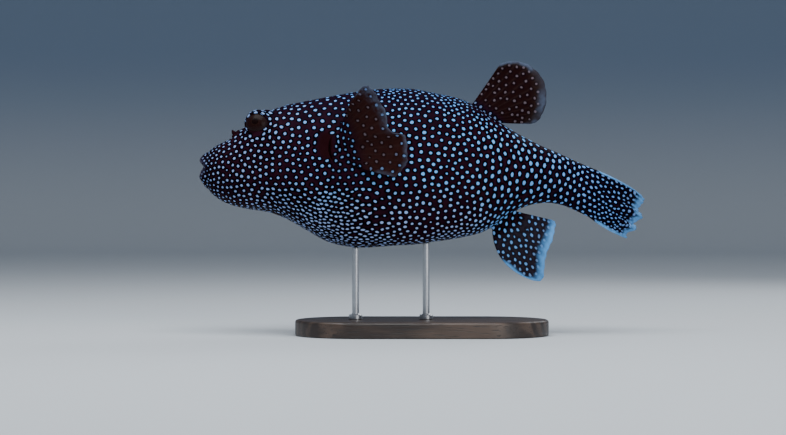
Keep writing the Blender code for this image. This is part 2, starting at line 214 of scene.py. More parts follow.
def spline(knots, values):
    """A natural cubic spline through rows of values, read at an array of places."""
    knots, values = np.array(knots, float), np.array(values, float)
    steps = np.diff(knots)
    slopes = np.diff(values, axis=0) / steps[:, None]
    system, right = np.eye(len(knots)), np.zeros_like(values)
    for i in range(1, len(knots) - 1):
        system[i, i - 1:i + 2] = steps[i - 1], 2 * (steps[i - 1] + steps[i]), steps[i]
        right[i] = 6 * (slopes[i] - slopes[i - 1])
    bend = np.linalg.solve(system, right)

    def value(at):
        at = np.atleast_1d(np.asarray(at, float))
        i = np.clip(np.searchsorted(knots, at) - 1, 0, len(steps) - 1)
        before, after, step = (at - knots[i])[:, None], (knots[i + 1] - at)[:, None], steps[i][:, None]
        cubes = (bend[i] * after**3 + bend[i + 1] * before**3) / (6 * step)
        start, end = values[i] / step - bend[i] * step / 6, values[i + 1] / step - bend[i + 1] * step / 6
        return cubes + start * after + end * before

    return value


along_body = spline([math.sqrt(row[0]) for row in STATIONS.values()], [row[1:] for row in STATIONS.values()])


def body_at(s):
    return along_body(np.sqrt(np.maximum(s, 0.0))).T


def side_bend(s):
    return TAIL_SWEEP * (np.maximum(0.0, s - SWEEP_FROM) / (BODY_END - SWEEP_FROM)) ** 2


def width_at(s, h):
    back, belly, width, level, above, below = body_at(s)
    height, square = np.where(h >= level, back - level, level - belly), np.where(h >= level, above, below)
    return width * np.maximum(0.0, 1 - np.abs((h - level) / height) ** square) ** (1 / square)


def ring(s, shares):
    """Points of the body's section at s, evenly measured along its skin from the back down the left side."""
    back, belly, width, level, above, below = (value[0] for value in body_at([s]))
    half = 360
    angle = np.linspace(0, 2 * math.pi, 2 * half + 1)
    up, out = np.cos(angle), -np.sin(angle)
    square = np.where(up >= 0, above, below)
    height = np.where(up >= 0, back - level, level - belly)
    y = np.sign(out) * np.abs(out) ** (2 / square) * max(width, 0.0)
    h = level + np.sign(up) * np.abs(up) ** (2 / square) * height
    run = np.concatenate([[0], np.cumsum(np.hypot(np.diff(y), np.diff(h)))])
    run[:half + 1] *= 0.5 / run[half]
    first, step = run[half + 1], run[half + 2] - run[half + 1]
    run[half + 1:] = 0.5 + (run[half + 1:] - first + step) * 0.5 / (run[-1] - first + step)
    y, h = np.interp(shares, run, y), np.interp(shares, run, h)
    return np.stack([np.full_like(y, s), y + side_bend(s), h], axis=1)


def smooth_step(low, high, value):
    x = np.clip((value - low) / (high - low), 0.0, 1.0)
    return x * x * (3 - 2 * x)


def band(start, full, wane, end, value):
    """1 from full to wane, and 0 before start and after end."""
    return smooth_step(start, full, value) * (1 - smooth_step(wane, end, value))


def caudal_middle(a, t):
    """The middle of the folded tail fin on ray a, 0 above to 1 below, at t from its root to its margin."""
    back, belly = (value[0] for value in body_at([BODY_END])[:2])
    turns = 2 * math.pi * CAUDAL_PLEATS * a**1.78
    reach = CAUDAL_REACH[0] + (CAUDAL_REACH[1] - CAUDAL_REACH[0]) * a**3.2
    reach = reach + CAUDAL_LOBE * t * np.cos(turns + 0.2) + 0.5 * t**6 * np.cos(2 * math.pi * CAUDAL_RAYS * a)
    reach = reach - 2.6 * np.maximum(0.0, 1 - a / 0.14) ** 2 - 1.2 * np.maximum(0.0, a / 0.12 - 7.33) ** 2
    drop = CAUDAL_DROP[0] + (CAUDAL_DROP[1] - CAUDAL_DROP[0]) * a
    fold = CAUDAL_PLEAT * np.sin(turns - 1.1) * np.sin(math.pi * (0.1 + 0.8 * a))
    y = side_bend(BODY_END) + fold * t + TAIL_SWEEP * 0.9 * t * t
    h = back + (belly - back) * a - drop * t
    h = h - 1.5 * np.sin(math.pi * t) * (2 * a - 1) - 3.0 * t**8 * (1 - a) ** 4
    return np.stack([BODY_END + reach * t, y, h], axis=-1)


def unit(rows):
    return rows / np.linalg.norm(rows, axis=-1)[..., None]


def to_the_right(normal, t):
    """Normals of a fin on the middle line, all to the right, and straight across it at its root."""
    normal = normal * np.sign(normal[..., 1])[..., None]
    return unit(np.array([0, 1, 0]) * (1 - t) + normal * t)


points, quads = [], []
grid_ids = {}


def add_point(key, place):
    grid_ids[key] = len(points)
    points.append(place)
    return grid_ids[key]


# The tip of the snout is closed by squares inside squares, so that the lips get an even net.
add_point((0, 0), (0.0, 0.0, STATIONS["snout"][1]))
for level in range(1, CAP_LEVELS + 1):
    count = 8 * level
    places = ring(CAP_END * (level / CAP_LEVELS) ** 2, np.arange(count) / count)
    for j in range(count):
        if j <= level:
            key = (-j, level)
        elif j <= 3 * level:
            key = (-level, 2 * level - j)
        elif j <= 5 * level:
            key = (j - 4 * level, -level)
        elif j <= 7 * level:
            key = (level, j - 6 * level)
        else:
            key = (8 * level - j, level)
        add_point(key, places[j])
        if level == CAP_LEVELS:
            grid_ids["ring", 0, j] = grid_ids[key]
for u in range(-CAP_LEVELS, CAP_LEVELS):
    for v in range(-CAP_LEVELS, CAP_LEVELS):
        quads.append([grid_ids[u, v], grid_ids[u, v + 1], grid_ids[u + 1, v + 1], grid_ids[u + 1, v]])
stops = [CAP_END]
while stops[-1] < BODY_END - 1.0:
    stops.append(stops[-1] + min(0.4 + 0.02 * stops[-1], 1.9))
stops = np.array(stops) * (BODY_END - CAP_END) / (stops[-1] - CAP_END)
stops = stops - stops[0] + CAP_END
shares = np.arange(AROUND) / AROUND
for k, s in enumerate(stops[1:], 1):
    for j, place in enumerate(ring(s, shares)):
        add_point(("ring", k, j), place)
last = len(stops) - 1
root = np.array([points[grid_ids["ring", last, j]] for j in range(AROUND)])
tail_back, tail_belly, tail_width = (value[0] for value in body_at([BODY_END])[:3])
ray_of = np.clip((tail_back - root[:, 2]) / (tail_back - tail_belly), 0, 1)
side_of = np.sign(root[:, 1] - side_bend(BODY_END))
side_of[[0, AROUND // 2]] = 0
for k in range(1, TAIL_RINGS + 1):
    t = k / TAIL_RINGS
    middle = caudal_middle(ray_of, t)
    run = caudal_middle(ray_of, min(t + NUDGE, 1)) - caudal_middle(ray_of, t - NUDGE)
    cross = caudal_middle(np.clip(ray_of + NUDGE, 0, 1), t) - caudal_middle(np.clip(ray_of - NUDGE, 0, 1), t)
    normal = to_the_right(unit(np.cross(run, cross)), t)
    flesh = tail_width * np.sqrt(np.maximum(0.0, 1 - (2 * ray_of - 1) ** 2))
    thick = CAUDAL_HALF + (flesh - CAUDAL_HALF) * (1 - t) ** 2.6
    rib = CAUDAL_RIB * (1 - 0.6 * t) * t**0.5 * np.cos(2 * math.pi * CAUDAL_RAYS * ray_of)
    thick = np.maximum(thick, 0.0) + rib
    for j in range(AROUND):
        add_point(("ring", last + k, j), middle[j] + normal[j] * side_of[j] * thick[j])
for k in range(last + TAIL_RINGS):
    for j in range(AROUND):
        after = (j + 1) % AROUND
        quads.append([grid_ids["ring", k, j], grid_ids["ring", k, after], grid_ids["ring", k + 1, after],
                      grid_ids["ring", k + 1, j]])
end = last + TAIL_RINGS
for j in range(AROUND // 2):
    left, right = grid_ids["ring", end, j], grid_ids["ring", end, (AROUND - j) % AROUND]
    next_left, next_right = grid_ids["ring", end, j + 1], grid_ids["ring", end, AROUND - j - 1]
    quads.append(list(dict.fromkeys([left, next_left, next_right, right])))

points = np.array(points)
body_count = len(points)


def swell(distance, width):
    """A smooth hump, 1 in its middle and gone at about twice its width."""
    return np.exp(-((distance / width) ** 2))


def waves(places, scale, seed):
    """Soft noise of about -1 to 1 at each place, with features about scale millimetres wide."""
    shift = Vector((seed * 17.3, seed * 5.1, seed * 9.7))
    return np.array([noise.noise(Vector(place) / scale + shift) for place in places]) * 1.6


def numbers(parts, key, width=1, kind=float):
    """A value of every vertex, edge, corner or face of a mesh, as an array."""
    values = np.zeros(len(parts) * width, kind)
    parts.foreach_get(key, values)
    return values.reshape(-1, width) if width > 1 else values


net_mesh = bpy.data.meshes.new("body_net")
net_mesh.from_pydata(points.tolist(), [], quads)
raise_by = numbers(net_mesh.vertices, "normal", 3)
if (raise_by * (points - (170, 0, 0))).sum() < 0:
    raise_by = -raise_by
    quads = [quad[::-1] for quad in quads]
bpy.data.meshes.remove(net_mesh)
s, y, h = points.T
loose = 1 - smooth_step(335, 352, s)
BROAD_WAVES, FINE_WAVES = (0.35, 26), (0.16, 7)
relief = BROAD_WAVES[0] * waves(points, BROAD_WAVES[1], 1) * smooth_step(10, 40, s) * loose
relief += FINE_WAVES[0] * waves(points, FINE_WAVES[1], 2) * smooth_step(4, 20, s) * loose
# Loose belly skin lies in soft folds that run back from the throat.
FOLD_RISE, FOLD_WIDTH, BELLY_RADIUS = 0.42, 7.0, 46
folded = band(40, 75, 180, 235, s) * smooth_step(18, 42, -h)
around = np.arctan2(np.abs(y), -(h + 5)) * BELLY_RADIUS
crease = np.sin(2 * math.pi * (around + 2.2 * waves(points, 30, 3)) / FOLD_WIDTH)
relief += folded * (FOLD_RISE * crease * (0.6 + 0.5 * waves(points, 18, 4)) - 0.1)
# The gill opening lies in a shallow bare hollow in front of the fin's root.
GILL_HOLLOW, GILL_HOLLOW_SEMI = (114.5, 19.0), (7.0, 12.5)
in_gill = np.hypot((s - GILL_HOLLOW[0]) / GILL_HOLLOW_SEMI[0], (h - GILL_HOLLOW[1]) / GILL_HOLLOW_SEMI[1])
GILL_SINK, GILL_LIP, NOSTRIL_MOUND, LIP_GROOVE = 1.3, 0.9, 2.6, 0.8
relief += -GILL_SINK * swell(in_gill, 0.8) + GILL_LIP * swell(np.hypot((s - 121.5) / 3.0, (h - 17) / 13), 1.0)
# A small mound carries each nostril.
mound = swell(np.hypot((s - 36.5) / 6.5, (np.abs(y) - 11) / 8), 1.0)
relief += NOSTRIL_MOUND * mound * smooth_step(5, 15, h)
# A groove lies behind the lips.
relief -= LIP_GROOVE * swell(s - 6.5, 1.6) * smooth_step(1.0, 4.0, np.abs(h - 1))
points = points + raise_by * relief[:, None]
# Two fleshy lips stand forward round the mouth.
LIP_RISE, LIP_HEIGHT, LIP_WIDTH, MOUTH_SINK, PUCKERS, PUCKER_DEPTH = 1.7, 8.2, 15.0, 3.3, 34, 0.22
front = 1 - smooth_step(3, 11, s)
span = np.maximum(0.0, 1 - (y / LIP_WIDTH) ** 2)
both_lips = swell(h - LIP_HEIGHT + 0.5, 3.3) + 1.15 * swell(h + LIP_HEIGHT, 3.6)
points[:, 0] -= LIP_RISE * front * span * both_lips
points[:, 0] += MOUTH_SINK * front * span**2 * swell(h - 1.2, 2.3)
# The lips are finely puckered towards the mouth.
from_mouth = np.hypot(y / 1.35, h - 0.8)
pucker = np.cos(PUCKERS * np.arctan2(h - 0.8, y / 1.35) + 1.2 * waves(points, 9, 5))
lips = (1 - smooth_step(8.0, 12.5, from_mouth)) * (1 - smooth_step(3.0, 8.0, s))
points[:, 0] -= PUCKER_DEPTH * pucker * lips * smooth_step(2.5, 6.0, from_mouth)

# What the paint needs to know at each point: whether it is on a fin's web, how far it is from the fin's
# margin, its place among the rays, bare skin, the lips, and the grey of the anal fin.
MARKS = ("web", "margin", "ray", "bare", "lip", "grey")
WEB, MARGIN, RAY, BARE, LIP, GREY = range(len(MARKS))
NO_MARGIN = 9.0
marks = np.zeros((body_count, len(MARKS)))
marks[:, MARGIN] = NO_MARGIN
in_mouth = (1 - smooth_step(5.5, 7.0, from_mouth)) * (1 - smooth_step(4, 7, s))
marks[:, BARE] = np.maximum(1 - smooth_step(0.75, 1.15, in_gill), in_mouth)
marks[:, LIP] = lips
tail_t = np.zeros(body_count)
tail_a = np.zeros(body_count)
for k in range(1, TAIL_RINGS + 1):
    for j in range(AROUND):
        tail_t[grid_ids["ring", last + k, j]] = k / TAIL_RINGS
        tail_a[grid_ids["ring", last + k, j]] = ray_of[j]
fan = tail_t > 0
fan_edge = np.minimum(tail_a, 1 - tail_a) * 44 / 1.5 + 6 * (1 - smooth_step(-0.1, 0.25, tail_t))
marks[fan, MARGIN] = np.minimum((1 - tail_t) * 46 / 4.8, fan_edge)[fan]
marks[fan, RAY] = tail_a[fan] * CAUDAL_RAYS
marks[fan, WEB] = 0.25 * smooth_step(0.3, 0.9, tail_t)[fan]


def outward(name, shape):
    """A mesh object from a shape, its faces turned outwards."""
    bmesh.ops.recalc_face_normals(shape, faces=shape.faces)
    mesh = bpy.data.meshes.new(name)
    shape.to_mesh(mesh)
    shape.free()
    return put(name, mesh)


def closed(name, places, faces):
    """A closed mesh object from points in metres."""
    draft = bpy.data.meshes.new(name + "_draft")
    draft.from_pydata(places.tolist(), [], [list(face) for face in faces])
    shape = bmesh.new()
    shape.from_mesh(draft)
    bpy.data.meshes.remove(draft)
    return outward(name, shape)


def solid(name, places, faces):
    """A mesh object from points in the body's own measure: millimetres behind the snout, across, and up."""
    return closed(name, (np.array(places) + SNOUT) * MM, faces)


body = solid("skin", points, quads)

# ---------------------------------------------------------------------------------------------------------
# The fins: thin webs of skin on jointed rays, fleshy where they leave the body. Each is a sheet laid along
# its rays, which nodes then thicken and rib. They are one with the skin of the body.

MARGIN_HALF, RIB_HEIGHT = 0.38, 0.14


def tips_curve(*rows):
    values = np.array(rows, float).T
    return spline(np.linspace(0, 1, len(values)), values)


def middle_rays(front, rear, tips_s, tips_h, bow, ripple, lean):
    """The rays of a fin on the middle line, from its root on the back or the belly."""
    tips = tips_curve(tips_s, tips_h)

    def ray(a, t):
        tip_s, tip_h = tips(a.ravel()).T.reshape(2, *a.shape)
        root_s, root_h = front[0] + (rear[0] - front[0]) * a, front[1] + (rear[1] - front[1]) * a
        length = np.hypot(tip_s - root_s, tip_h - root_h)
        forward = np.copysign(bow * (1 - a) ** 2 * 4 * t * (1 - t) / length, bow * (tip_h - root_h))
        along_s = root_s + (tip_s - root_s) * t - forward * (tip_h - root_h)
        along_h = root_h + (tip_h - root_h) * t + forward * (tip_s - root_s)
        out = t * t * (ripple * np.sin(2.6 * math.pi * a) + lean) + side_bend(root_s)
        return np.stack([along_s, out, along_h], axis=-1)

    return ray


def breast_rays(side, drop):
    """The rays of a breast fin, spread out from the flank behind the gill, the first one raised."""
    tips = spline((0, 0.125, 0.25, 0.375, 0.46, 0.53, 0.58, 0.64, 0.75, 0.875, 1), np.transpose((
        (143, 149.5, 157, 164, 168.5, 171.5, 179, 184, 186.3, 185, 175.6),
        (87, 89, 89, 87, 85, 83, 82, 80, 77, 74, 70), (62, 68.6, 64.5, 53, 42, 30.5, 28, 26.5, 12, 1, -9.5))))

    def ray(a, t):
        tip_s, tip_y, tip_h = tips(a.ravel()).T.reshape(3, *a.shape)
        root_h = 38.0 - 35.0 * a
        root_s = 131.0 - 3.0 * np.sin(math.pi * a)
        root_y = width_at(root_s.ravel(), root_h.ravel()).reshape(a.shape) - 5.0
        arch = np.sin(math.pi * t) * (1 - 0.6 * a)
        wave = 2.5 * t * t * np.sin(3.2 * math.pi * a)
        return np.stack([root_s + (tip_s - root_s) * t - 3 * arch,
                         side * (root_y + (tip_y - root_y) * t + 4 * arch + wave),
                         root_h + (tip_h - drop * (1 - 0.5 * a) - root_h) * t], axis=-1)

    return ray


def rib_tree():
    """Nodes that give a sheet its thickness, with a rib along each ray on both faces."""
    tree = bpy.data.node_groups.new("ribbed_web", "GeometryNodeTree")
    sockets = {}
    tree.interface.new_socket("Sheet", in_out="INPUT", socket_type="NodeSocketGeometry")
    for name, kind in (("Rays", "NodeSocketFloat"), ("Rib Height", "NodeSocketFloat"),
                       ("Material", "NodeSocketMaterial")):
        sockets[name] = tree.interface.new_socket(name, in_out="INPUT", socket_type=kind).identifier
    tree.interface.new_socket("Web", in_out="OUTPUT", socket_type="NodeSocketGeometry")
    node, maths = node_maker(tree)
    given = node("NodeGroupInput").outputs
    ray, reach, half = (node("GeometryNodeInputNamedAttribute", [name], data_type="FLOAT").outputs[0]
                        for name in ("ray", "reach", "half"))
    across = node("GeometryNodeInputNamedAttribute", ["across"], data_type="FLOAT_VECTOR").outputs[0]
    wave = maths("COSINE", maths("MULTIPLY", maths("MULTIPLY", ray, given["Rays"]), 2 * math.pi))
    rib = maths("POWER", maths("MULTIPLY_ADD", wave, 0.5, 0.5), 2.0)
    ebb = node("ShaderNodeMapRange", [reach, 1.0, 0.55, 0.35, 1.0]).outputs[0]
    rib = maths("MULTIPLY", maths("MULTIPLY", rib, given["Rib Height"]), ebb)
    thick = maths("ADD", half, rib)
    below, above = (node("ShaderNodeVectorMath", {0: across, "Scale": maths("MULTIPLY", thick, share)},
                         operation="SCALE").outputs["Vector"] for share in (-1.0, 2.0))
    base = node("GeometryNodeSetPosition", {"Geometry": given["Sheet"], "Offset": below}).outputs["Geometry"]
    raised = node("GeometryNodeExtrudeMesh", {"Mesh": base, "Individual": False, "Offset Scale": 0.0},
                  mode="FACES").outputs
    top = node("GeometryNodeSetPosition", {"Geometry": raised["Mesh"], "Selection": raised["Top"],
                                           "Offset": above}).outputs["Geometry"]
    both = node("GeometryNodeJoinGeometry", [top])
    tree.links.new(node("GeometryNodeFlipFaces", [base]).outputs["Mesh"], both.inputs[0])
    whole = node("GeometryNodeMergeByDistance", {"Geometry": both.outputs[0], "Distance": 1e-5})
    whole = node("GeometryNodeRealizeInstances", {"Geometry": whole.outputs["Geometry"]})
    whole = node("GeometryNodeSetMaterial", {"Geometry": whole.outputs["Geometry"],
                                             "Material": given["Material"]})
    node("NodeGroupOutput", {"Web": whole.outputs["Geometry"]})
    return tree, sockets


skin_paint = bpy.data.materials.new("spotted_hide")
rib_nodes, rib_inputs = rib_tree()


def store(mesh, key, values, kind="FLOAT", where="POINT"):
    """Keeps one number, or three, at each point or face of a mesh for its nodes or its material."""
    layer = mesh.attributes.new(key, kind, where).data
    layer.foreach_set("vector" if kind == "FLOAT_VECTOR" else "value", values.ravel())


def settle(thing):
    """Gives an object the mesh that its modifiers make, and takes them off."""
    shape = bpy.data.meshes.new_from_object(thing.evaluated_get(bpy.context.evaluated_depsgraph_get()))
    thing.modifiers.clear()
    thing.data = shape


def web(name, ray, rays, rim, fleshy, scallop, paired=False, grey=0.0, size=(88, 34), root_from=6.0,
        faint=0.0, edges=(0.0, 0.0)):
    """A fin: its sheet along the rays, thickened and ribbed by the nodes. rim is the pale margin's width."""
    columns, rows = size
    a, t = np.meshgrid(np.linspace(0, 1, columns + 1), np.linspace(0, 1, rows + 1), indexing="ij")
    places = ray(a, t)
    length = np.linalg.norm(ray(a, np.ones_like(a)) - ray(a, np.zeros_like(a)), axis=-1)
    along = ray(a, np.minimum(t + NUDGE, 1)) - ray(a, np.maximum(t - NUDGE, 0))
    across = ray(np.minimum(a + NUDGE, 1), t) - ray(np.maximum(a - NUDGE, 0), t)
    normal = unit(np.cross(along, across))
    if not paired:
        normal = to_the_right(normal, t[..., None])
    ragged = scallop * (np.cos(2 * math.pi * rays * a) + 0.8 * np.sin(2 * math.pi * rays * a * 0.43 + 1.0))
    places = places + unit(along) * (ragged * t**5)[..., None]
    half = MARGIN_HALF + (1.2 + fleshy * np.maximum(0.0, 1 - (2 * a - 1) ** 2) ** 0.4) * (1 - t) ** 3
    border = np.minimum.reduce([a * columns, (1 - a) * columns, (1 - t) * rows])
    half = half * (0.45 + 0.55 * np.clip(border / 1.5, 0, 1))
    ids = np.arange(a.size).reshape(a.shape)
    faces = np.stack([ids[:-1, :-1], ids[1:, :-1], ids[1:, 1:], ids[:-1, 1:]], axis=-1).reshape(-1, 4)
    sheet = bpy.data.meshes.new(name + "_sheet")
    flat = places.reshape(-1, 3)
    sheet.from_pydata(((flat + SNOUT) * MM).tolist(), [], faces.tolist())
    edge = (1 - t) * length / np.maximum(rim(a), 0.05) + faint
    for width, inside in zip(edges, (a, 1 - a)):
        if width:
            edge = np.minimum(edge, faint + inside * 45 / width + 6 * (1 - smooth_step(0.25, 0.7, t)))
    root = smooth_step(root_from, 2.2 * root_from + 5, t * length)
    values = {"ray": a, "reach": t, "half": half * MM, "web": root, "margin": edge, "grey": grey * root}
    for key, value in values.items():
        store(sheet, key, value)
    store(sheet, "across", normal, "FLOAT_VECTOR")
    holder = put(name, sheet)
    ribs = holder.modifiers.new("ribs", "NODES")
    ribs.node_group = rib_nodes
    ribs[rib_inputs["Rays"]] = float(rays)
    ribs[rib_inputs["Rib Height"]] = RIB_HEIGHT * MM
    ribs[rib_inputs["Material"]] = skin_paint
    settle(holder)
    table = np.zeros((len(holder.data.vertices), len(MARKS)))
    for column, key in enumerate(MARKS):
        if key in values:
            kept = numbers(holder.data.attributes[key].data, "value")
            table[:, column] = kept * (rays if key == "ray" else 1)
    return holder, table


fins = [
    web("dorsal_web",
        middle_rays((243, 54.5), (270, 41), (270.5, 281.5, 295, 306, 312, 312.5, 309.5, 304.5, 298),
                    (93.8, 97.2, 94.6, 86, 73.5, 60, 49.5, 42.5, 40.3), -0.2, 2.2, -2.0),
        11, lambda a: 2.2 + 3.0 * smooth_step(0.2, 0.6, a), 3.2, 0.22, root_from=4.0),
    web("anal_web",
        middle_rays((264, -50), (283.5, -38.5), (293, 305, 311, 312, 316, 320, 321.5, 318.5),
                    (-98.5, -102.5, -97, -82, -71, -59, -50, -46.8), 9.5, 2.6, 1.5),
        11, lambda a: 3.2 + 1.8 * np.sin(math.pi * a), 3.2, 0.3, grey=1.0, size=(80, 32), edges=(2.2, 0.0)),
]
for name, side, drop in (("left", -1, 0.0), ("right", 1, 8.0)):
    fins.append(web("breast_web_" + name, breast_rays(side, drop), 17, lambda a: 3.4 + 0.8 * np.sin(9 * a),
                    3.6, 0.35, paired=True, root_from=12.0, faint=0.8, edges=(0.0, 1.8)))

# ---------------------------------------------------------------------------------------------------------
# The brow rings, nostrils, gill slits and mouth. A raised ring of skin stands round each eye, a forked flap
# over each nostril, and the slits are cut in; then all the flesh is joined to one hide and its joins eased.

EYE_PLACE, EYE_LOOK, EYE_SEMI = (53.4, 24.5, 38.8), (-0.25, 1.0, 0.28), (11.9, 9.6)
LID_SEMI, LID_OPENING, LID_DROP, EYE_PLAY = (12.5, 12.8, 11.1), (10.8, 7.4), 1.1, 0.12
LID_SLOT = [(0.0, 0.0), (1.0, 0.0), (1.0, 5.2), (1.02, 6.2), (1.07, 7.2), (1.16, 8.2), (1.3, 9.2),
            (1.5, 14.0), (0.0, 14.0)]
NOSTRIL_PLACE = (32.2, 12.0)
GILL_PLACE, GILL_SEMI = (119.0, 17.0), (1.1, 4.5, 11.5)
MOUTH_PLACE, MOUTH_SEMI = 0.8, (7.2, 10.6, 1.75)


def eye_frame(side):
    """The middle of an eye, and its axes: two across its look, and the look itself."""
    centre = np.array(EYE_PLACE) * (1, side, 1)
    look = np.array(EYE_LOOK) * (1, side, 1)
    look = look / np.linalg.norm(look)
    back = np.cross((0, 0, 1.0), look)
    back *= np.sign(back[0]) / np.linalg.norm(back)
    up = np.cross(look, back)
    return centre, back, up * np.sign(up[2]), look


def eye_measures(places, side):
    """Of each place: how far out along the eye's look, how far from that line, how far above it, and how far
    out on the opening of the lids, 1 at its rim."""
    centre, back, up, look = eye_frame(side)
    away = places - centre
    along = away @ look
    radial = np.linalg.norm(away - along[:, None] * look, axis=1)
    oval = np.hypot(away @ back / LID_OPENING[0], (away @ up + LID_DROP) / LID_OPENING[1])
    return along, radial, away @ up, oval


def turned(profile, segments, centre, first, second, axis):
    """A closed surface of revolution; the profile runs from the axis to the axis as (radius, height)."""
    places, faces = [], []
    for radius, height in profile[1:-1]:
        for i in range(segments):
            angle = 2 * math.pi * i / segments
            spoke = first * math.cos(angle) + second * math.sin(angle)
            places.append(centre + axis * height + radius * spoke)
    low, high = len(places), len(places) + 1
    places += [centre + axis * profile[0][1], centre + axis * profile[-1][1]]
    for i in range(segments):
        after = (i + 1) % segments
        faces.append((low, after, i))
        for k in range(len(profile) - 3):
            here = k * segments
            faces.append((here + i, here + after, here + segments + after, here + segments + i))
        here = (len(profile) - 3) * segments
        faces.append((here + i, here + after, high))
    return places, faces


def ball(semi, across=48, down=24):
    """The profile of an ellipsoid with the semi-axes (across, along), for turning."""
    return [(semi[0] * math.sin(math.pi * i / down), -semi[1] * math.cos(math.pi * i / down))
            for i in range(down + 1)], across


def egg(name, centre, semi, bend=None, across=40, down=20, lean=0.0):
    """A solid ellipsoid with semi-axes along the body, across it and up, bent by a rule if one is given."""
    profile, segments = ball((1.0, 1.0), across, down)
    places, faces = turned(profile, segments, np.zeros(3), *np.eye(3))
    places = np.array(places) * semi
    if bend:
        places = bend(places)
    turn = np.array(Matrix.Rotation(math.radians(lean), 3, "Y"))
    return solid(name, places @ turn.T + centre, faces)


def boolean(target, other, operation):
    """Joins the other solid on, or cuts it away."""
    modifier = target.modifiers.new(operation.lower(), "BOOLEAN")
    modifier.operation, modifier.object, modifier.solver = operation, other, "MANIFOLD"
    settle(target)
    bpy.data.objects.remove(other)


def joined(name, parts):
    """Separate solids as one mesh object."""
    shape = bmesh.new()
    for part in parts:
        shape.from_mesh(part.data)
        bpy.data.objects.remove(part)
    return outward(name, shape)


def places_of(thing):
    """The vertices of an object, in the body's own measure."""
    return numbers(thing.data.vertices, "co", 3) / MM - SNOUT


def leaf(places):
    """Bends a nostril lobe to a curved, flattened leaf."""
    x, y, z = places.T
    return np.stack([x * (1 - 0.25 * z / 3) + 0.05 * z * z, y * 0.8, z], axis=1)


def bowed_back(places, bow):
    """Moves each place towards the tail by its own amount."""
    return places + np.outer(bow, (1, 0, 0))


added, cutters = [], []
known, known_marks = [points], [marks]
for fin, table in fins:
    known.append(places_of(fin))
    known_marks.append(table)
    added.append(fin)
for side in (-1, 1):
    centre, back, up, look = eye_frame(side)
    lid = ball((1.0, LID_SEMI[2]), 96, 56)
    added.append(solid("lids", *turned(*lid, centre + 0.5 * up, back * LID_SEMI[0], up * LID_SEMI[1], look)))
    added.append(egg("brow", (60.5, side * 20.5, 40.3), (11.5, 9.5, 11.8)))
    hollow = ball((EYE_SEMI[0] + EYE_PLAY, EYE_SEMI[1] + EYE_PLAY), 96, 48)
    room = solid("eye_room", *turned(*hollow, centre, back, up, look))
    slot = turned(LID_SLOT, 96, centre - LID_DROP * up, back * LID_OPENING[0], up * LID_OPENING[1], look)
    boolean(room, solid("lid_slot", *slot), "UNION")
    cutters.append(room)
    top, _, half_width, level, square, _ = (value[0] for value in body_at([NOSTRIL_PLACE[0]]))
    foot_h = level + (top - level) * (1 - (NOSTRIL_PLACE[1] / half_width) ** square) ** (1 / square)
    foot = (NOSTRIL_PLACE[0], side * NOSTRIL_PLACE[1])
    flap = egg("nostril", (*foot, foot_h + 0.6), (3.5, 2.6, 2.6))
    for fork in (-1, 1):
        lobe_place = (foot[0] - 0.2 + 1.6 * fork, foot[1], foot_h + 3.6)
        boolean(flap, egg("lobe", lobe_place, (1.7, 1.9, 3.3), leaf, 24, 16, lean=26 * fork - 10), "UNION")
    added.append(flap)
    gill_y = float(width_at(np.array([GILL_PLACE[0]]), np.array([GILL_PLACE[1]]))[0])
    cutters.append(egg("gill_slit", (GILL_PLACE[0], side * (gill_y + 0.6), GILL_PLACE[1]), GILL_SEMI,
                       lambda p: bowed_back(p, 0.022 * p[:, 2] ** 2 - 1.3)))
cutters.append(egg("mouth_slit", (0.6, 0, MOUTH_PLACE), MOUTH_SEMI,
                   lambda p: bowed_back(p, 0.016 * p[:, 1] ** 2), 64, 32))
flesh = joined("flesh_parts", added)
holes = joined("holes", cutters)
known += [places_of(flesh)[sum(map(len, known)) - body_count:], places_of(holes)]
flaps = (known[-2][:, 0] < EYE_PLACE[0] - LID_SEMI[0] - 2) * 0.7
for bare in (flaps, np.ones(len(known[-1]))):
    table = np.zeros((len(bare), len(MARKS)))
    table[:, MARGIN], table[:, BARE] = NO_MARGIN, bare
    known_marks.append(table)
boolean(body, flesh, "UNION")
boolean(body, holes, "DIFFERENCE")
# Faces round a vertex with two edges only are cut into triangles while they are flat, so that none folds
# over, and a vertex that holds nothing but two triangles back to back goes with them.
shape = bmesh.new()
shape.from_mesh(body.data)
split = {face for corner in shape.verts if len(corner.link_edges) == 2 for face in corner.link_faces}
split |= {face for face in shape.faces if len(face.verts) > 4}
bmesh.ops.triangulate(shape, faces=sorted(split, key=lambda face: face.index), quad_method="BEAUTY",
                      ngon_method="BEAUTY")
flaps = [corner for corner in shape.verts
         if len(corner.link_edges) == 2 and all(len(face.verts) == 3 for face in corner.link_faces)]
bmesh.ops.delete(shape, geom=flaps, context="VERTS")
shape.to_mesh(body.data)
shape.free()


def tree_of(places):
    lookup = KDTree(len(places))
    for i, place in enumerate(places):
        lookup.insert(place, i)
    lookup.balance()
    return lookup


known, known_marks = np.concatenate(known), np.concatenate(known_marks)
lookup = tree_of(known)
places = places_of(body)
found = [lookup.find(place) for place in places]
off = np.array([hit[2] for hit in found])
marks = known_marks[[hit[1] for hit in found]]
fresh = places[off > 0.01]
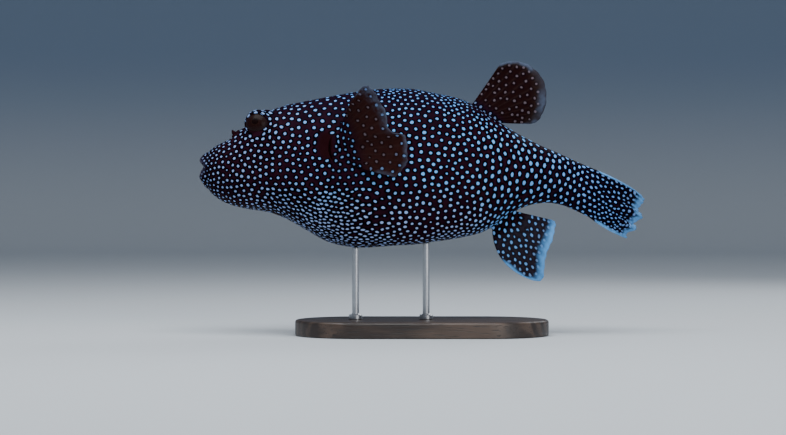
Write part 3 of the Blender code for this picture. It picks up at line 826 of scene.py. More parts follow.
# Each join is eased over its own width; the rims of the eyes, gills and mouth only lose their sharpness.
FIN_JOIN, BROW_JOIN, LID_RIM, NOSTRIL_JOIN, GILL_RIM, MOUTH_RIM = 4.5, 3.6, 0.9, 1.3, 1.2, 1.5
EASE_STEPS, RIM_STEPS, EASE_SHARE = 14, 3, 0.55
width_of = np.full(len(fresh), FIN_JOIN)
for side in (-1, 1):
    along, radial, _, oval = eye_measures(fresh, side)
    width_of[radial < 18] = BROW_JOIN
    width_of[(oval < 1.2) & (along > 1)] = LID_RIM
    from_foot = np.linalg.norm(fresh[:, :2] - (NOSTRIL_PLACE[0], side * NOSTRIL_PLACE[1]), axis=1)
    width_of[from_foot < 5] = NOSTRIL_JOIN
    near_gill = (np.abs(fresh[:, 0] - GILL_PLACE[0]) < 6) & (np.abs(fresh[:, 2] - GILL_PLACE[1]) < 14)
    width_of[near_gill & (np.abs(fresh[:, 1]) > 40)] = GILL_RIM
width_of[fresh[:, 0] < 12] = MOUTH_RIM
ease = np.zeros(len(places))
steps_of = np.zeros(len(places))
for width in np.unique(width_of):
    joins = tree_of(fresh[width_of == width])
    gap = np.array([joins.find(place)[2] for place in places])
    share = 1 - smooth_step(0.35 * width, width, gap)
    steps_of = np.where(share > 0, np.maximum(steps_of, RIM_STEPS if width < 2 else EASE_STEPS), steps_of)
    ease = np.maximum(ease, share)
rims = tree_of(fresh[width_of == LID_RIM])
rim_gap = np.array([rims.find(place)[2] for place in places])
ends = numbers(body.data.edges, "vertices", 2, np.int64)
count = np.bincount(ends.ravel(), minlength=len(places)).astype(float)
for step in range(EASE_STEPS):
    total = np.zeros_like(places)
    for column in range(3):
        total[:, column] = (np.bincount(ends[:, 0], places[ends[:, 1], column], len(places))
                            + np.bincount(ends[:, 1], places[ends[:, 0], column], len(places)))
    keep = ease * (steps_of > step)
    if step >= RIM_STEPS:
        keep = keep * smooth_step(1.0, 2.2, rim_gap)
    places += EASE_SHARE * keep[:, None] * (total / count[:, None] - places)
body.data.vertices.foreach_set("co", ((places + SNOUT) * MM).ravel())
body.data.shade_smooth()
for name in [layer.name for layer in body.data.attributes if not layer.is_required]:
    body.data.attributes.remove(body.data.attributes[name])
for column, name in enumerate(MARKS):
    store(body.data, name, marks[:, column])

# ---------------------------------------------------------------------------------------------------------
# The spots: pale dots in the pigment of a dark maroon hide, small on the snout, belly and tail fin and large
# on the flank. They are thrown at random over the skin, kept a set distance apart, then evened out.

# Distance between spots, and their radius as a share of it, along the body.
SPACING = ((0, 4.0), (8, 4.15), (20, 4.9), (35, 5.5), (55, 5.6), (100, 5.8), (150, 6.4), (200, 6.75),
           (240, 5.9), (262, 6.2), (300, 6.8), (330, 5.8), (352, 5.2), (400, 5.0))
RADIUS = ((0, 0.20), (20, 0.21), (40, 0.219), (75, 0.200), (130, 0.200), (190, 0.203), (240, 0.215),
          (262, 0.25), (300, 0.24), (335, 0.245), (352, 0.245), (400, 0.225))
# On the fins: the distance between spots, and their radius as a share of it. A fin's web is marked by more
# than FIN_WEB ahead of the stalk of the tail, and the fins of the middle line lie within MIDDLE_FINS of it.
DORSAL_SPOTS, ANAL_SPOTS, BREAST_SPOTS = (7.1, 0.145), (5.9, 0.205), (9.6, 0.122)
FIN_WEB, GREY_WEB, STALK_FROM, MIDDLE_FINS, TAIL_FROM, FAN_FROM = 0.4, 0.2, 335, 25, 345, 347
# Spots that lie further below the surface than this, in millimetres, belong to the other side of the fish.
FAR_SIDE = 2.0
# The share of its distance that a spot keeps clear at first, and the steps in which the spots are evened out.
FIRST_CLEAR, EVEN_STEPS, EVEN_SHARE = 0.83, 4, 0.8
rng = np.random.default_rng(7)

faces = body.data.polygons
firsts, sizes = numbers(faces, "loop_start", kind=np.int64), numbers(faces, "loop_total", kind=np.int64)
corner = numbers(body.data.loops, "vertex_index", kind=np.int64)
centres = np.add.reduceat(places[corner], firsts) / sizes[:, None]
face_marks = np.add.reduceat(marks[corner], firsts) / sizes[:, None]
areas = numbers(faces, "area") / (MM * MM)
normals = numbers(faces, "normal", 3)


def spot_rule(at, mark):
    """At each place: the distance between spots, their radius, how long they are for their width and which
    way, and how dull they are."""
    s, y, h = at.T
    web, grey, lip = mark[:, WEB], mark[:, GREY], mark[:, LIP]
    apart = np.interp(s, *zip(*SPACING))
    share = np.interp(s, *zip(*RADIUS))
    keel = smooth_step(26, 60, -h) * smooth_step(40, 80, s) * (1 - smooth_step(255, 285, s))
    throat = band(48, 80, 120, 190, s) * smooth_step(4, 34, -h)
    chin = smooth_step(12, 32, -h) * (1 - smooth_step(58, 84, s))
    apart = apart * (1 - np.maximum.reduce([0.22 * keel, 0.28 * throat, 0.07 * chin]))
    share = share + 0.045 * np.maximum(keel, throat)
    breast = band(112, 124, 142, 156, s) * swell(h - 8, 30)
    apart, share = apart * (1 - 0.13 * breast), share - 0.018 * breast
    back = body_at(np.clip(s, 1, BODY_END))[0]
    ridge = smooth_step(0.53, 0.84, h / np.maximum(back, 5))
    ridge = ridge * smooth_step(118, 175, s) * (1 - smooth_step(245, 290, s))
    forehead = smooth_step(20, 40, h) * smooth_step(55, 75, s) * (1 - smooth_step(120, 140, s))
    apart = apart * (1 - 0.22 * ridge + 0.26 * forehead)
    share = share + 0.008 * ridge - 0.018 * forehead
    apart, share = apart * (1 - 0.12 * lip), share - 0.015 * lip
    fin_root = band(238, 246, 272, 280, s) * smooth_step(-10, -3, h - back)
    apart, share = apart * (1 + 0.12 * fin_root), share - 0.045 * fin_root
    on_fin = (web > FIN_WEB) & (s < STALK_FROM)
    middle, anal = np.abs(y) < MIDDLE_FINS, (grey > GREY_WEB) & (s < STALK_FROM)
    for fin, (fin_apart, fin_share) in ((on_fin & ~middle, BREAST_SPOTS), (on_fin & middle, DORSAL_SPOTS),
                                        (on_fin & middle & anal, ANAL_SPOTS)):
        apart, share = np.where(fin, fin_apart, apart), np.where(fin, fin_share, share)
    # The upper half of the tail fan carries wider set spots than the lower.
    fan = smooth_step(348, 368, s)
    upper = smooth_step(-9, -1, 0.5 * (s - 375) + 0.86 * (h + 28.8))
    apart = apart + fan * (3.75 + 1.15 * upper - apart)
    share = share + fan * (0.224 - 0.014 * upper - share)
    long = np.ones(len(at))
    way = np.tile([1.0, 0.0, 0.0], (len(at), 1))
    slack = band(45, 80, 140, 185, s) * smooth_step(8, 34, -h)
    long = long + 0.75 * slack
    way[:, 2] = -0.6 * slack * (1 - smooth_step(85, 125, s))
    # Spots beside an eye or the gill hollow are drawn out round it.
    for middle_s, middle_h, inner, outer in ((EYE_PLACE[0], EYE_PLACE[2], 12, 24), (*GILL_HOLLOW, 9, 17)):
        off_s, off_h = s - middle_s, h - middle_h
        away = np.maximum(np.hypot(off_s, off_h), 1e-3)
        round_it = band(inner - 3, inner, inner + 2, outer, away)
        turned_way = np.stack([-off_h / away, 0 * away, off_s / away], axis=1)
        way = np.where(round_it[:, None] > 0.3, turned_way, way)
        long = long + 0.4 * round_it
    stalk = band(245, 275, 335, 350, s) * (web < 0.3)
    way[stalk > 0] = (0.15, 0, 1)
    long = long + 0.38 * stalk
    way[s > FAN_FROM] = (0.86, 0, -0.5)
    long = np.where(s > FAN_FROM, 1.5, long)
    way[anal] = (0.5, 0, -0.86)
    long = np.where(anal, 1.4, long)
    rimward = 1 - smooth_step(1.5, 4.5, mark[:, MARGIN])
    tail_rim = 0.45 * rimward * (s > TAIL_FROM)
    dull = np.maximum.reduce([0.06 * ridge, 0.9 * lip, 0.5 * breast, 0.7 * fin_root, tail_rim])
    fin_dull = np.where(middle, np.where(anal, 0.22 + 0.4 * rimward, 1.0), 1.0 - 0.45 * rimward)
    dull = np.where(on_fin, fin_dull, dull)
    return apart, share * apart, long, unit(way), dull


# Spots with a set place round each eye: the turn round it in degrees, and how far out. Then how far other
# spots keep from them, and their radius.
ROUND_EYE = ((146, 8.9), (97, 8.2), (104, 11.2), (57, 9.7), (70, 12.0), (48, 14.2), (33, 14.2), (8, 13.2),
             (316, 11.2), (262, 14.0), (216, 11.2))
ROUND_EYE_APART, ROUND_EYE_RADIUS = 4.2, 1.3
apart, *_ = spot_rule(centres, face_marks)
sockets = np.zeros(len(faces), bool)
pinned = []
for side in (-1, 1):
    centre, back, up, look = eye_frame(side)
    along, radial, above, oval = eye_measures(centres, side)
    sockets |= (np.hypot(radial / EYE_SEMI[0], along / EYE_SEMI[1]) < 1.03) | ((oval < 1.07) & (along > 0))
    sockets |= (radial < 13.0) & (along > 0) & (above < -0.62 * radial)
    for turn, reach in ROUND_EYE:
        angle = math.radians(turn + 2.5 * side)
        height = LID_SEMI[2] * math.sqrt(max(0.0, 1 - (reach / LID_SEMI[1]) ** 2))
        pinned.append(centre + look * height + reach * (back * math.cos(angle) + up * math.sin(angle)))
inside_margin = face_marks[:, MARGIN] > np.where(centres[:, 0] > TAIL_FROM, 0.75, 0.95)
open_skin = ~sockets & (face_marks[:, BARE] < 0.45) & inside_margin & (areas > 1e-4)
candidates = np.flatnonzero(open_skin)
lookup = tree_of(centres[candidates])
taken = np.zeros(len(candidates), bool)
spots = []
for place in pinned:
    place, i, _ = lookup.find(place)
    if taken[i]:
        continue
    spots.append(np.array(place))
    for _, near, _ in lookup.find_range(place, ROUND_EYE_APART):
        taken[near] = True
pins = len(spots)
for i in rng.permutation(len(candidates)):
    if taken[i]:
        continue
    place, facing = centres[candidates[i]], normals[candidates[i]]
    spots.append(place)
    near = np.array([hit[1] for hit in lookup.find_range(place, FIRST_CLEAR * apart[candidates[i]])])
    depth = np.abs((centres[candidates[near]] - place) @ facing)
    behind = (normals[candidates[near]] @ facing < 0) & (depth > FAR_SIDE + 0.15)
    taken[near[~behind]] = True
spots = np.array(spots)
shape = bmesh.new()
shape.from_mesh(body.data)
surface = BVHTree.FromBMesh(shape)
shape.free()
pull = areas[candidates] / apart[candidates] ** 4
for _ in range(EVEN_STEPS):
    near = tree_of(spots)
    owner = np.array([near.find(centres[i])[1] for i in candidates])
    weight = np.maximum(np.bincount(owner, pull, len(spots)), 1e-12)
    for column in range(3):
        middle = np.bincount(owner, pull * centres[candidates, column], len(spots)) / weight
        spots[pins:, column] += EVEN_SHARE * (middle - spots[:, column])[pins:]
for i, place in enumerate(spots):
    metres = Vector((place + SNOUT) * MM)
    spots[i] = np.array(surface.find_nearest(metres)[0]) / MM - SNOUT
near = tree_of(centres)
spot_face = np.array([near.find(place)[1] for place in spots])
_, radii, long, way, dull = spot_rule(spots, face_marks[spot_face])
radii[:pins] = ROUND_EYE_RADIUS
radii *= rng.uniform(0.86, 1.12, len(spots)) * np.where(rng.random(len(spots)) < 0.05, 0.66, 1.0)
long = np.maximum(long * rng.uniform(0.94, 1.22, len(spots)), 1.001)
way += rng.normal(0, 0.22, way.shape)
way -= (way * normals[spot_face]).sum(axis=1)[:, None] * normals[spot_face]
stretch = unit(way) * np.sqrt(1 - 1 / long**2)[:, None]
radii /= np.sqrt(long)
near = tree_of(spots)
four = np.array([[hit[1] for hit in near.find_n(place, 4)] for place in centres])
reach = spots[four] - centres[:, None]
depth = np.abs((reach * normals[:, None]).sum(axis=2))
order = np.argsort(np.linalg.norm(reach, axis=2) + 20 * (depth > FAR_SIDE + 0.3), axis=1)
pair = np.take_along_axis(four, order[:, :2], axis=1)
for rank, name in enumerate(("near", "next")):
    store(body.data, "spot_" + name, spots[pair[:, rank]] + SNOUT, "FLOAT_VECTOR", "FACE")
    store(body.data, "long_" + name, stretch[pair[:, rank]], "FLOAT_VECTOR", "FACE")
for name, values in (("spot_size", radii), ("spot_dull", dull)):
    both = np.stack([values[pair[:, 0]], values[pair[:, 1]], np.zeros(len(faces))], axis=1)
    store(body.data, name, both, "FLOAT_VECTOR", "FACE")

# The hide's paint: matt, nearly black maroon, blacker in a thin line round each spot, and bluer and darker up
# the back as painted light from above; brown webs with pale margins; bare brown skin in the gill hollow and
# grey lips. Fine grain and tiny prickles roughen it.
MAROON, MAROON_DEEP = (0.0195, 0.0038, 0.0095, 1), (0.0112, 0.0024, 0.0080, 1)
NAVY = (0.0060, 0.0019, 0.0105, 1)
HALO, HALO_NAVY = (0.0001, 0.0001, 0.0010, 1), (0.0001, 0.0002, 0.0035, 1)
SPOT, SPOT_BLUE, SPOT_BELLY = (0.16, 0.47, 0.98, 1), (0.165, 0.40, 0.92, 1), (0.36, 0.48, 0.84, 1)
SPOT_SNOUT, SPOT_DULL = (0.27, 0.39, 0.72, 1), (0.120, 0.090, 0.105, 1)
WEB_BROWN, WEB_WARM = (0.0120, 0.0034, 0.0036, 1), (0.028, 0.0086, 0.0076, 1)
WEB_OLIVE, WEB_GREY, WEB_RAY = (0.022, 0.0125, 0.0105, 1), (0.021, 0.016, 0.025, 1), (0.035, 0.020, 0.018, 1)
RIM_PALE, RIM_DULL = (0.12, 0.38, 0.80, 1), (0.085, 0.110, 0.17, 1)
BARE_BROWN, LIP_GREY = (0.015, 0.0028, 0.0042, 1), (0.041, 0.035, 0.075, 1)


def mottle_group():
    """Cloudy variation of a colour: it darkens and lightens in soft patches."""
    group = bpy.data.node_groups.new("mottle", "ShaderNodeTree")
    face = group.interface
    face.new_socket("Place", in_out="INPUT", socket_type="NodeSocketVector")
    face.new_socket("Colour", in_out="INPUT", socket_type="NodeSocketColor")
    for name, value in (("Patch Size", 0.01), ("Amount", 0.3)):
        face.new_socket(name, in_out="INPUT", socket_type="NodeSocketFloat").default_value = value
    face.new_socket("Colour", in_out="OUTPUT", socket_type="NodeSocketColor")
    node, maths = node_maker(group)
    given = node("NodeGroupInput").outputs
    scale = maths("DIVIDE", 1.0, given["Patch Size"])
    cloud = node("ShaderNodeTexNoise", {"Vector": given["Place"], "Scale": scale, "Detail": 4.0,
                                        "Roughness": 0.6}).outputs["Fac"]
    level = maths("MULTIPLY", maths("ADD", cloud, -0.5), given["Amount"])
    level = maths("MULTIPLY_ADD", level, 2.0, 1.0)
    changed = node("ShaderNodeVectorMath", {0: given["Colour"], "Scale": level}, operation="SCALE")
    node("NodeGroupOutput", {"Colour": changed.outputs["Vector"]})
    return group


mottle = mottle_group()


def mottled(colour, patch_size, amount):
    """Paints the shader in a colour that the mottle group varies."""
    tinted = node("ShaderNodeGroup", {"Place": place, "Colour": colour, "Patch Size": patch_size,
                                      "Amount": amount}, node_tree=mottle)
    links.new(tinted.outputs["Colour"], shader.inputs["Base Color"])


def vectors(operation, *values):
    made = node("ShaderNodeVectorMath", values, operation=operation)
    return made.outputs["Value" if operation == "DOT_PRODUCT" else "Vector"]


def read(name, kind="Fac"):
    return node("ShaderNodeAttribute", attribute_name=name).outputs[kind]


node, maths, links, shader, place = new_paint(skin_paint)
in_mm = vectors("MULTIPLY", place, (1000.0, 1000.0, 1000.0))
wobble = node("ShaderNodeTexNoise", {"Vector": place, "Scale": 480.0, "Detail": 1.0}).outputs["Color"]
wobble = vectors("MULTIPLY", vectors("SUBTRACT", wobble, (0.5, 0.5, 0.5)), (0.9, 0.9, 0.9))
at = vectors("ADD", in_mm, wobble)
size_xyz = node("ShaderNodeSeparateXYZ", [read("spot_size", "Vector")])
dull_xyz = node("ShaderNodeSeparateXYZ", [read("spot_dull", "Vector")])
facing = node("ShaderNodeNewGeometry").outputs["Normal"]
gaps = []
for order, name in enumerate(("near", "next")):
    away = vectors("SUBTRACT", at, read("spot_" + name, "Vector"))
    square = vectors("DOT_PRODUCT", away, away)
    along = vectors("DOT_PRODUCT", away, read("long_" + name, "Vector"))
    square = maths("SUBTRACT", square, maths("MULTIPLY", along, along))
    # A spot goes right through a thin web, and is only on its own side where the flesh is thicker.
    depth = maths("ABSOLUTE", vectors("DOT_PRODUCT", away, facing))
    square = maths("SUBTRACT", square, maths("MULTIPLY", depth, depth))
    depth = maths("MULTIPLY", maths("MAXIMUM", maths("SUBTRACT", depth, FAR_SIDE), 0.0), 4.0)
    square = maths("MULTIPLY_ADD", depth, depth, square)
    gaps.append(maths("SUBTRACT", maths("SQRT", maths("MAXIMUM", square, 0.0)), size_xyz.outputs[order]))
gap = maths("MINIMUM", *gaps)
nearest = maths("LESS_THAN", gaps[1], gaps[0])
dullness = maths("ADD", maths("MULTIPLY", dull_xyz.outputs[0], maths("SUBTRACT", 1.0, nearest)),
                 maths("MULTIPLY", dull_xyz.outputs[1], nearest))
spot = fade(gap, 0.28, -0.28)
halo = fade(gap, 1.95, 0.9)

clouds = clouds_of(90.0, 5.0, 0.65)
ground = blend(fade(clouds, 0.35, 0.65), MAROON, MAROON_DEEP)
spread = node("ShaderNodeSeparateXYZ", [place]).outputs
# Painted light: up the back the ground is painted bluer and darker, the blue cast of light falling from
# above. Towards the tail it also turns bluer.
back_light_cast_and_tail_blue = maths("MAXIMUM", fade(spread["X"], 0.07, 0.16), fade(spread["Z"], 0.180, 0.222))
ground = blend(maths("MULTIPLY", back_light_cast_and_tail_blue, 0.75), ground, NAVY)
web_mark, grey_mark, margin = read("web"), read("grey"), read("margin")
ray_wave = maths("COSINE", maths("MULTIPLY", read("ray"), 2 * math.pi))
streak = clouds_of(260.0, 3.0)
paired = fade(maths("ABSOLUTE", spread["Y"]), 0.032, 0.056)
web_ground = blend(paired, blend(fade(margin, 3.5, 0.8), WEB_BROWN, WEB_OLIVE), WEB_WARM)
web_ground = blend(grey_mark, web_ground, WEB_GREY)
ray_line = maths("MULTIPLY", fade(maths("ADD", ray_wave, maths("MULTIPLY", streak, 0.8)), 0.7, 1.7), 0.3)
web_ground = blend(ray_line, web_ground, WEB_RAY)
ground = blend(web_mark, ground, web_ground)
halo = maths("MULTIPLY", halo, maths("SUBTRACT", 0.97, maths("MULTIPLY", web_mark, 0.6)))
# The dark rings round the spots are painted with the same blue light up the back, and bluer towards the tail.
ground = blend(halo, ground, blend(back_light_cast_and_tail_blue, HALO, HALO_NAVY))
bare, lip = read("bare"), read("lip")
ground = blend(bare, ground, BARE_BROWN)
folds = clouds_of(900.0, 3.0, where=vectors("MULTIPLY", place, (1.0, 1.0, 0.5)))
ground = blend(maths("MULTIPLY", lip, fade(folds, 0.30, 0.62)), ground, LIP_GREY)
# The spots are painted bluer up the back, as lit from above, and towards the tail; on the snout and belly
# they take their own tones.
spot_colour = blend(fade(spread["X"], -0.05, -0.175), blend(back_light_cast_and_tail_blue, SPOT, SPOT_BLUE), SPOT_SNOUT)
on_belly = maths("MULTIPLY", fade(spread["Z"], 0.145, 0.095), fade(spread["X"], 0.08, 0.03))
spot_colour = blend(on_belly, spot_colour, SPOT_BELLY)
colour = blend(spot, ground, blend(dullness, spot_colour, SPOT_DULL))
fringe = maths("ADD", margin, maths("MULTIPLY", maths("SUBTRACT", streak, 0.5), 1.1))
soft = maths("MULTIPLY", web_mark, maths("SUBTRACT", 1.0, grey_mark))
fringe = maths("ADD", fringe, maths("MULTIPLY", ray_wave, maths("MULTIPLY_ADD", web_mark, -0.14, 0.22)))
blurred = maths("MAXIMUM", soft, maths("MULTIPLY", grey_mark, 1.15))
rim = node("ShaderNodeMapRange", {"Value": fringe, "From Min": maths("MULTIPLY_ADD", blurred, 0.75, 1.35),
                                  "From Max": maths("MULTIPLY_ADD", blurred, -0.35, 0.45)},
           interpolation_type="SMOOTHSTEP").outputs["Result"]
worn = maths("MULTIPLY_ADD", fade(clouds_of(70.0, 2.0), 0.62, 0.40), 0.7, 0.12)
rim = maths("MULTIPLY", rim, maths("SUBTRACT", 1.0, maths("MULTIPLY", soft, worn)))
rim_colour = blend(soft, RIM_PALE, RIM_DULL)
frost = maths("MULTIPLY", fade(margin, 4.6, 1.6), fade(read("ray"), 10.5, 6.5))
frost = maths("MULTIPLY", frost, fade(streak, 0.25, 0.75))
frost = maths("MULTIPLY", frost, maths("MULTIPLY", paired, web_mark))
colour = blend(maths("MULTIPLY", frost, 0.6), colour, RIM_DULL)
colour = blend(rim, colour, rim_colour)
mottled(colour, 0.006, 0.22)
grain = clouds_of(1100.0, 3.0, 0.7)
prickles = node("ShaderNodeTexVoronoi", {"Vector": place, "Scale": 520.0}).outputs["Distance"]
relief = maths("ADD", maths("MULTIPLY", grain, 0.5), maths("MULTIPLY", fade(prickles, 0.35, 0.0), 0.5))
relief = maths("ADD", relief, maths("MULTIPLY", spot, 0.35))
roughen(clouds, 0.42, 0.62, relief, 0.7, 0.00022)
shader.inputs["Specular IOR Level"].default_value = 0.08
shader.inputs["IOR"].default_value = 1.15
body.data.materials.clear()
body.data.materials.append(skin_paint)
body.data.polygons.foreach_set("material_index", np.zeros(len(faces), np.int32))
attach(body, "root")
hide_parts("head", "trunk", "tail", "dorsal_fin", "anal_fin", "caudal_fin", "pectoral_fin_left",
            "pectoral_fin_right", "nostril_left", "nostril_right")

# ---------------------------------------------------------------------------------------------------------
# The eyes: glassy balls set deep under the brow rings, flattened a little towards the front. The iris is
# dark brown with a thin gold line round the black pupil.

PUPIL, IRIS_EDGE = 3.2, 10.4
IRIS_BROWN, IRIS_WARM = (0.0098, 0.0028, 0.0028, 1), (0.019, 0.0070, 0.0062, 1)
IRIS_GREY, GOLD = (0.026, 0.016, 0.021, 1), (0.022, 0.010, 0.006, 1)
# The second colour here is painted shade: the ball beyond the iris, lying under the lids in its socket, is
# painted near black.
PUPIL_BLACK, SOCKET_SHADE_BLACK = (0.0060, 0.0019, 0.0019, 1), (0.006, 0.003, 0.003, 1)


def finish(piece, paint, sharp_from=None):
    """Smooths a piece but for edges that turn by more than so many degrees, and paints it."""
    piece.data.shade_smooth()
    if sharp_from:
        piece.data.set_sharp_from_angle(angle=math.radians(sharp_from))
    piece.data.materials.append(paint)


eye_paint = bpy.data.materials.new("eye_glaze")
node, maths, links, shader, place = new_paint(eye_paint)
out = read("out_mm")
turn = read("turn")
round_iris = node("ShaderNodeCombineXYZ", [maths("MULTIPLY", turn, 9.0), maths("MULTIPLY", out, 0.18), 0.0])
fibres = clouds_of(2.2, 4.0, where=round_iris.outputs[0])
iris = blend(fade(fibres, 0.35, 0.7), IRIS_BROWN, IRIS_WARM)
iris = blend(maths("MULTIPLY", fade(out, 6.4, IRIS_EDGE), 0.45), iris, IRIS_GREY)
gold_line = fade(maths("ABSOLUTE", maths("SUBTRACT", out, PUPIL + 0.25)), 0.35, 0.1)
iris = blend(maths("MULTIPLY", gold_line, 0.7), iris, GOLD)
iris = blend(fade(out, PUPIL + 0.1, PUPIL - 0.15), iris, PUPIL_BLACK)
# Painted shade: beyond the iris edge and over the back of the ball, where it sits in the socket, the ball is
# painted near black.
iris = blend(fade(out, IRIS_EDGE, IRIS_EDGE + 0.8), iris, SOCKET_SHADE_BLACK)
links.new(iris, shader.inputs["Base Color"])
for key, value in (("Roughness", 0.3), ("Specular IOR Level", 0.25), ("IOR", 1.2), ("Coat Weight", 0.025),
                   ("Coat Roughness", 0.08)):
    shader.inputs[key].default_value = value
for name, side in (("left", -1), ("right", 1)):
    centre, back, up, look = eye_frame(side)
    profile, segments = ball(EYE_SEMI, 72, 48)
    eye = solid("eyeball_" + name, *turned(profile, segments, centre, back, up, look))
    away = places_of(eye) - centre
    flat = away - (away @ look)[:, None] * look
    radial = np.where(away @ look > 0, np.linalg.norm(flat, axis=1), 20.0)
    store(eye.data, "out_mm", radial)
    store(eye.data, "turn", np.abs(np.arctan2(flat @ up, flat @ back)))
    finish(eye, eye_paint)
    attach(eye, "root")
    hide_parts("eye_" + name)

# ---------------------------------------------------------------------------------------------------------
# The beak: four teeth grown into two ivory plates, one in each jaw behind the lip, each bowed round the
# front of the mouth and split by a fine seam in the middle.

BEAK_FRONT, BEAK_HALF_WIDTH, BEAK_HEIGHT, BEAK_THICK, BEAK_BOW = 4.0, 7.0, 6.0, 2.6, 2.2
MOUTH_LEVEL_IN_JAW, BITE_GAP = 0.6, 0.35
IVORY, IVORY_DARK, SEAM_BROWN = (0.62, 0.54, 0.40, 1), (0.47, 0.38, 0.26, 1), (0.10, 0.065, 0.05, 1)
enamel = bpy.data.materials.new("beak_enamel")
node, maths, links, shader, place = new_paint(enamel)
bands = node("ShaderNodeTexWave", {"Vector": place, "Scale": 260.0, "Distortion": 3.0, "Detail": 2.0},
             bands_direction="Z").outputs["Fac"]
colour = blend(maths("MULTIPLY", bands, 0.5), IVORY, IVORY_DARK)
colour = blend(fade(maths("ABSOLUTE", node("ShaderNodeSeparateXYZ", [place]).outputs["Y"]), 0.0005, 0.0001),
               colour, SEAM_BROWN)
mottled(colour, 0.002, 0.35)
roughen(bands, 0.22, 0.38, bands, 0.4, 0.0001)


def beak_plate(name, side):
    """One plate: a rounded section swept across the jaw, ebbing towards its two ends."""
    columns, places, sheets = 48, [], []
    for i in range(columns + 1):
        across = 2 * i / columns - 1
        y = across * BEAK_HALF_WIDTH
        front = BEAK_FRONT + BEAK_BOW * across**2
        edge = MOUTH_LEVEL_IN_JAW + side * (BITE_GAP + 0.12 * abs(math.sin(across * 9)))
        root = MOUTH_LEVEL_IN_JAW + side * (BITE_GAP + BEAK_HEIGHT * (1 - 0.75 * across**2))
        corners = np.array([(front + 0.45, edge), (front, edge + 0.35 * (root - edge)), (front + 0.8, root),
                            (front + BEAK_THICK, root), (front + BEAK_THICK, edge)])
        corners[:2, 0] += 0.35 * math.exp(-((y / 0.35) ** 2))
        for _ in range(2):
            after = np.roll(corners, -1, axis=0)
            corners = np.stack([0.78 * corners + 0.22 * after, 0.22 * corners + 0.78 * after],
                               axis=1).reshape(-1, 2)
        places += [(s, y, h) for s, h in corners]
    count = len(corners)
    for i in range(columns):
        for j in range(count):
            after = (j + 1) % count
            sheets.append((i * count + j, i * count + after, (i + 1) * count + after, (i + 1) * count + j))
    sheets += [tuple(range(count)), tuple(columns * count + j for j in range(count))]
    return solid(name, places, sheets)


for name, side in (("upper", 1), ("lower", -1)):
    plate = beak_plate("beak_plate_" + name, side)
    finish(plate, enamel)
    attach(plate, "root")
    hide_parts("beak_" + name)

# ---------------------------------------------------------------------------------------------------------
# The base of the stand: one slab of oak, stained dark, its two ends cut round and its upper edge softened.
# It stands loose on the floor, and the two rods are let into it.

BASE_EDGE, BASE_FOOT_EDGE, END_STEPS, EDGE_STEPS = 2.5 * MM, 0.6 * MM, 32, 6
OAK_DARK, OAK_BROWN, PORE_BLACK = (0.028, 0.018, 0.014, 1), (0.085, 0.055, 0.040, 1), (0.010, 0.007, 0.006, 1)
stained_oak = bpy.data.materials.new("stained_oak")
node, maths, links, shader, place = new_paint(stained_oak)
lengthwise = vectors("MULTIPLY", place, (0.11, 1.0, 1.0))
figure = clouds_of(60.0, 6.0, 0.6, lengthwise, 0.6)
rings = node("ShaderNodeTexWave", {"Vector": lengthwise, "Scale": 26.0, "Distortion": 10.0, "Detail": 4.0,
                                   "Detail Scale": 1.4}, bands_direction="Y").outputs["Fac"]
pore = fade(clouds_of(900.0, 2.0, where=vectors("MULTIPLY", place, (0.05, 1.0, 1.0))), 0.56, 0.68)
wood = maths("ADD", maths("MULTIPLY", figure, 0.7), maths("MULTIPLY", rings, 0.4))
colour = blend(fade(wood, 0.4, 0.85), OAK_DARK, OAK_BROWN)
colour = blend(maths("MULTIPLY", pore, 0.75), colour, PORE_BLACK)
mottled(colour, 0.03, 0.3)
groove = maths("SUBTRACT", maths("MULTIPLY", rings, 0.15), pore)
roughen(maths("ADD", figure, pore), 0.3, 0.6, groove, 0.6, 0.0002, most=1.6)

low, high = (np.array(corner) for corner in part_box("stand_base"))
half_length, half_width = (high[0] - low[0]) / 2, (high[1] - low[1]) / 2
middle_x = (high[0] + low[0]) / 2
outline = []
for end in (1, -1):
    for i in range(END_STEPS + 1):
        angle = math.radians(-90 + 180 * i / END_STEPS) + (0 if end > 0 else math.pi)
        outline.append((middle_x + end * (half_length - half_width) + half_width * math.cos(angle),
                        half_width * math.sin(angle)))
outline = np.array(outline)
ends = (middle_x - half_length + half_width, 0), (middle_x + half_length - half_width, 0)
from_spine = unit(outline - np.clip(outline, *ends))
levels = [(BASE_FOOT_EDGE, low[2]), (0.0, low[2] + BASE_FOOT_EDGE)]
for i in range(EDGE_STEPS + 1):
    angle = math.radians(90 * i / EDGE_STEPS)
    levels.append((BASE_EDGE * (1 - math.cos(angle)), high[2] - BASE_EDGE * (1 - math.sin(angle))))
slab = bmesh.new()
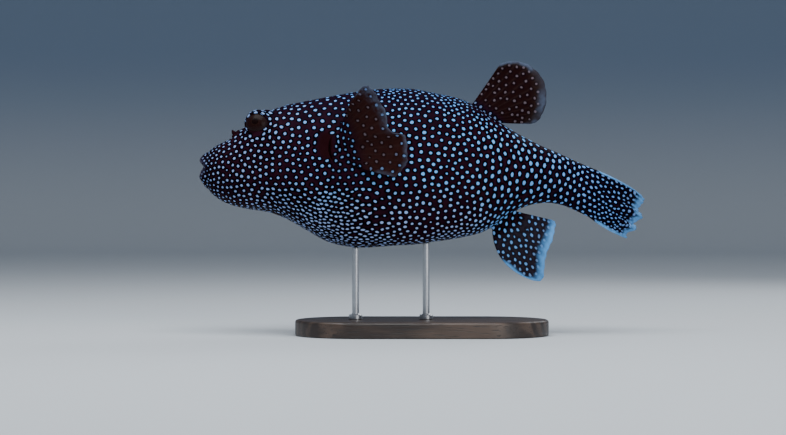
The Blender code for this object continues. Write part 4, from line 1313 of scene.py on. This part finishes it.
rounds = [[slab.verts.new((*spot, z)) for spot in outline - inset * from_spine] for inset, z in levels]
for lower, upper in zip(rounds, rounds[1:]):
    for i in range(len(lower)):
        slab.faces.new((lower[i - 1], lower[i], upper[i], upper[i - 1]))
slab.faces.new(rounds[0][::-1])
slab.faces.new(rounds[-1])
oak_base = outward("oak_base", slab)
finish(oak_base, stained_oak, 35)
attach(oak_base, "root")
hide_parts("stand_base")

# ---------------------------------------------------------------------------------------------------------
# The rods of the stand: two brushed steel rods, each with a low collar where it enters the oak. Their upper
# ends are set into the belly and hold the model up.

ROD_SEGMENTS, ROD_CHAMFER, COLLAR_SHARE, COLLAR_HIGH, COLLAR_FILLET = 48, 0.6 * MM, 1.9, 4.5 * MM, 0.8 * MM
STEEL_GREY = (0.52, 0.53, 0.55, 1)
brushed = bpy.data.materials.new("brushed_rod")
node, maths, links, shader, place = new_paint(brushed)
scratch = clouds_of(2600.0, 2.0, where=vectors("MULTIPLY", place, (1.0, 1.0, 0.03)))
mottled(STEEL_GREY, 0.012, 0.2)
shader.inputs["Metallic"].default_value = 1.0
roughen(scratch, 0.2, 0.42, scratch, 0.25, 0.00005)
for name in ("front", "rear"):
    low, high = (np.array(corner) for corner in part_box("stand_rod_" + name))
    middle, radius = (low + high) / 2, (high[0] - low[0]) / 2
    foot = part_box("stand_base")[1][2]
    collar, top, cut = radius * COLLAR_SHARE, foot + COLLAR_HIGH, ROD_CHAMFER
    profile = [(0.0, low[2]), (radius, low[2]), (radius, foot), (collar - cut, foot), (collar, foot + cut),
               (collar, top - cut), (collar - cut, top), (radius + COLLAR_FILLET, top),
               (radius, top + COLLAR_FILLET), (radius, high[2] - cut), (radius - cut, high[2]),
               (0.0, high[2])]
    rod_places, rod_faces = turned(profile, ROD_SEGMENTS, np.array((middle[0], middle[1], 0.0)), *np.eye(3))
    steel_rod = closed("steel_rod_" + name, np.array(rod_places), rod_faces)
    finish(steel_rod, brushed, 40)
    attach(steel_rod, "root")
    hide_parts("stand_rod_" + name)
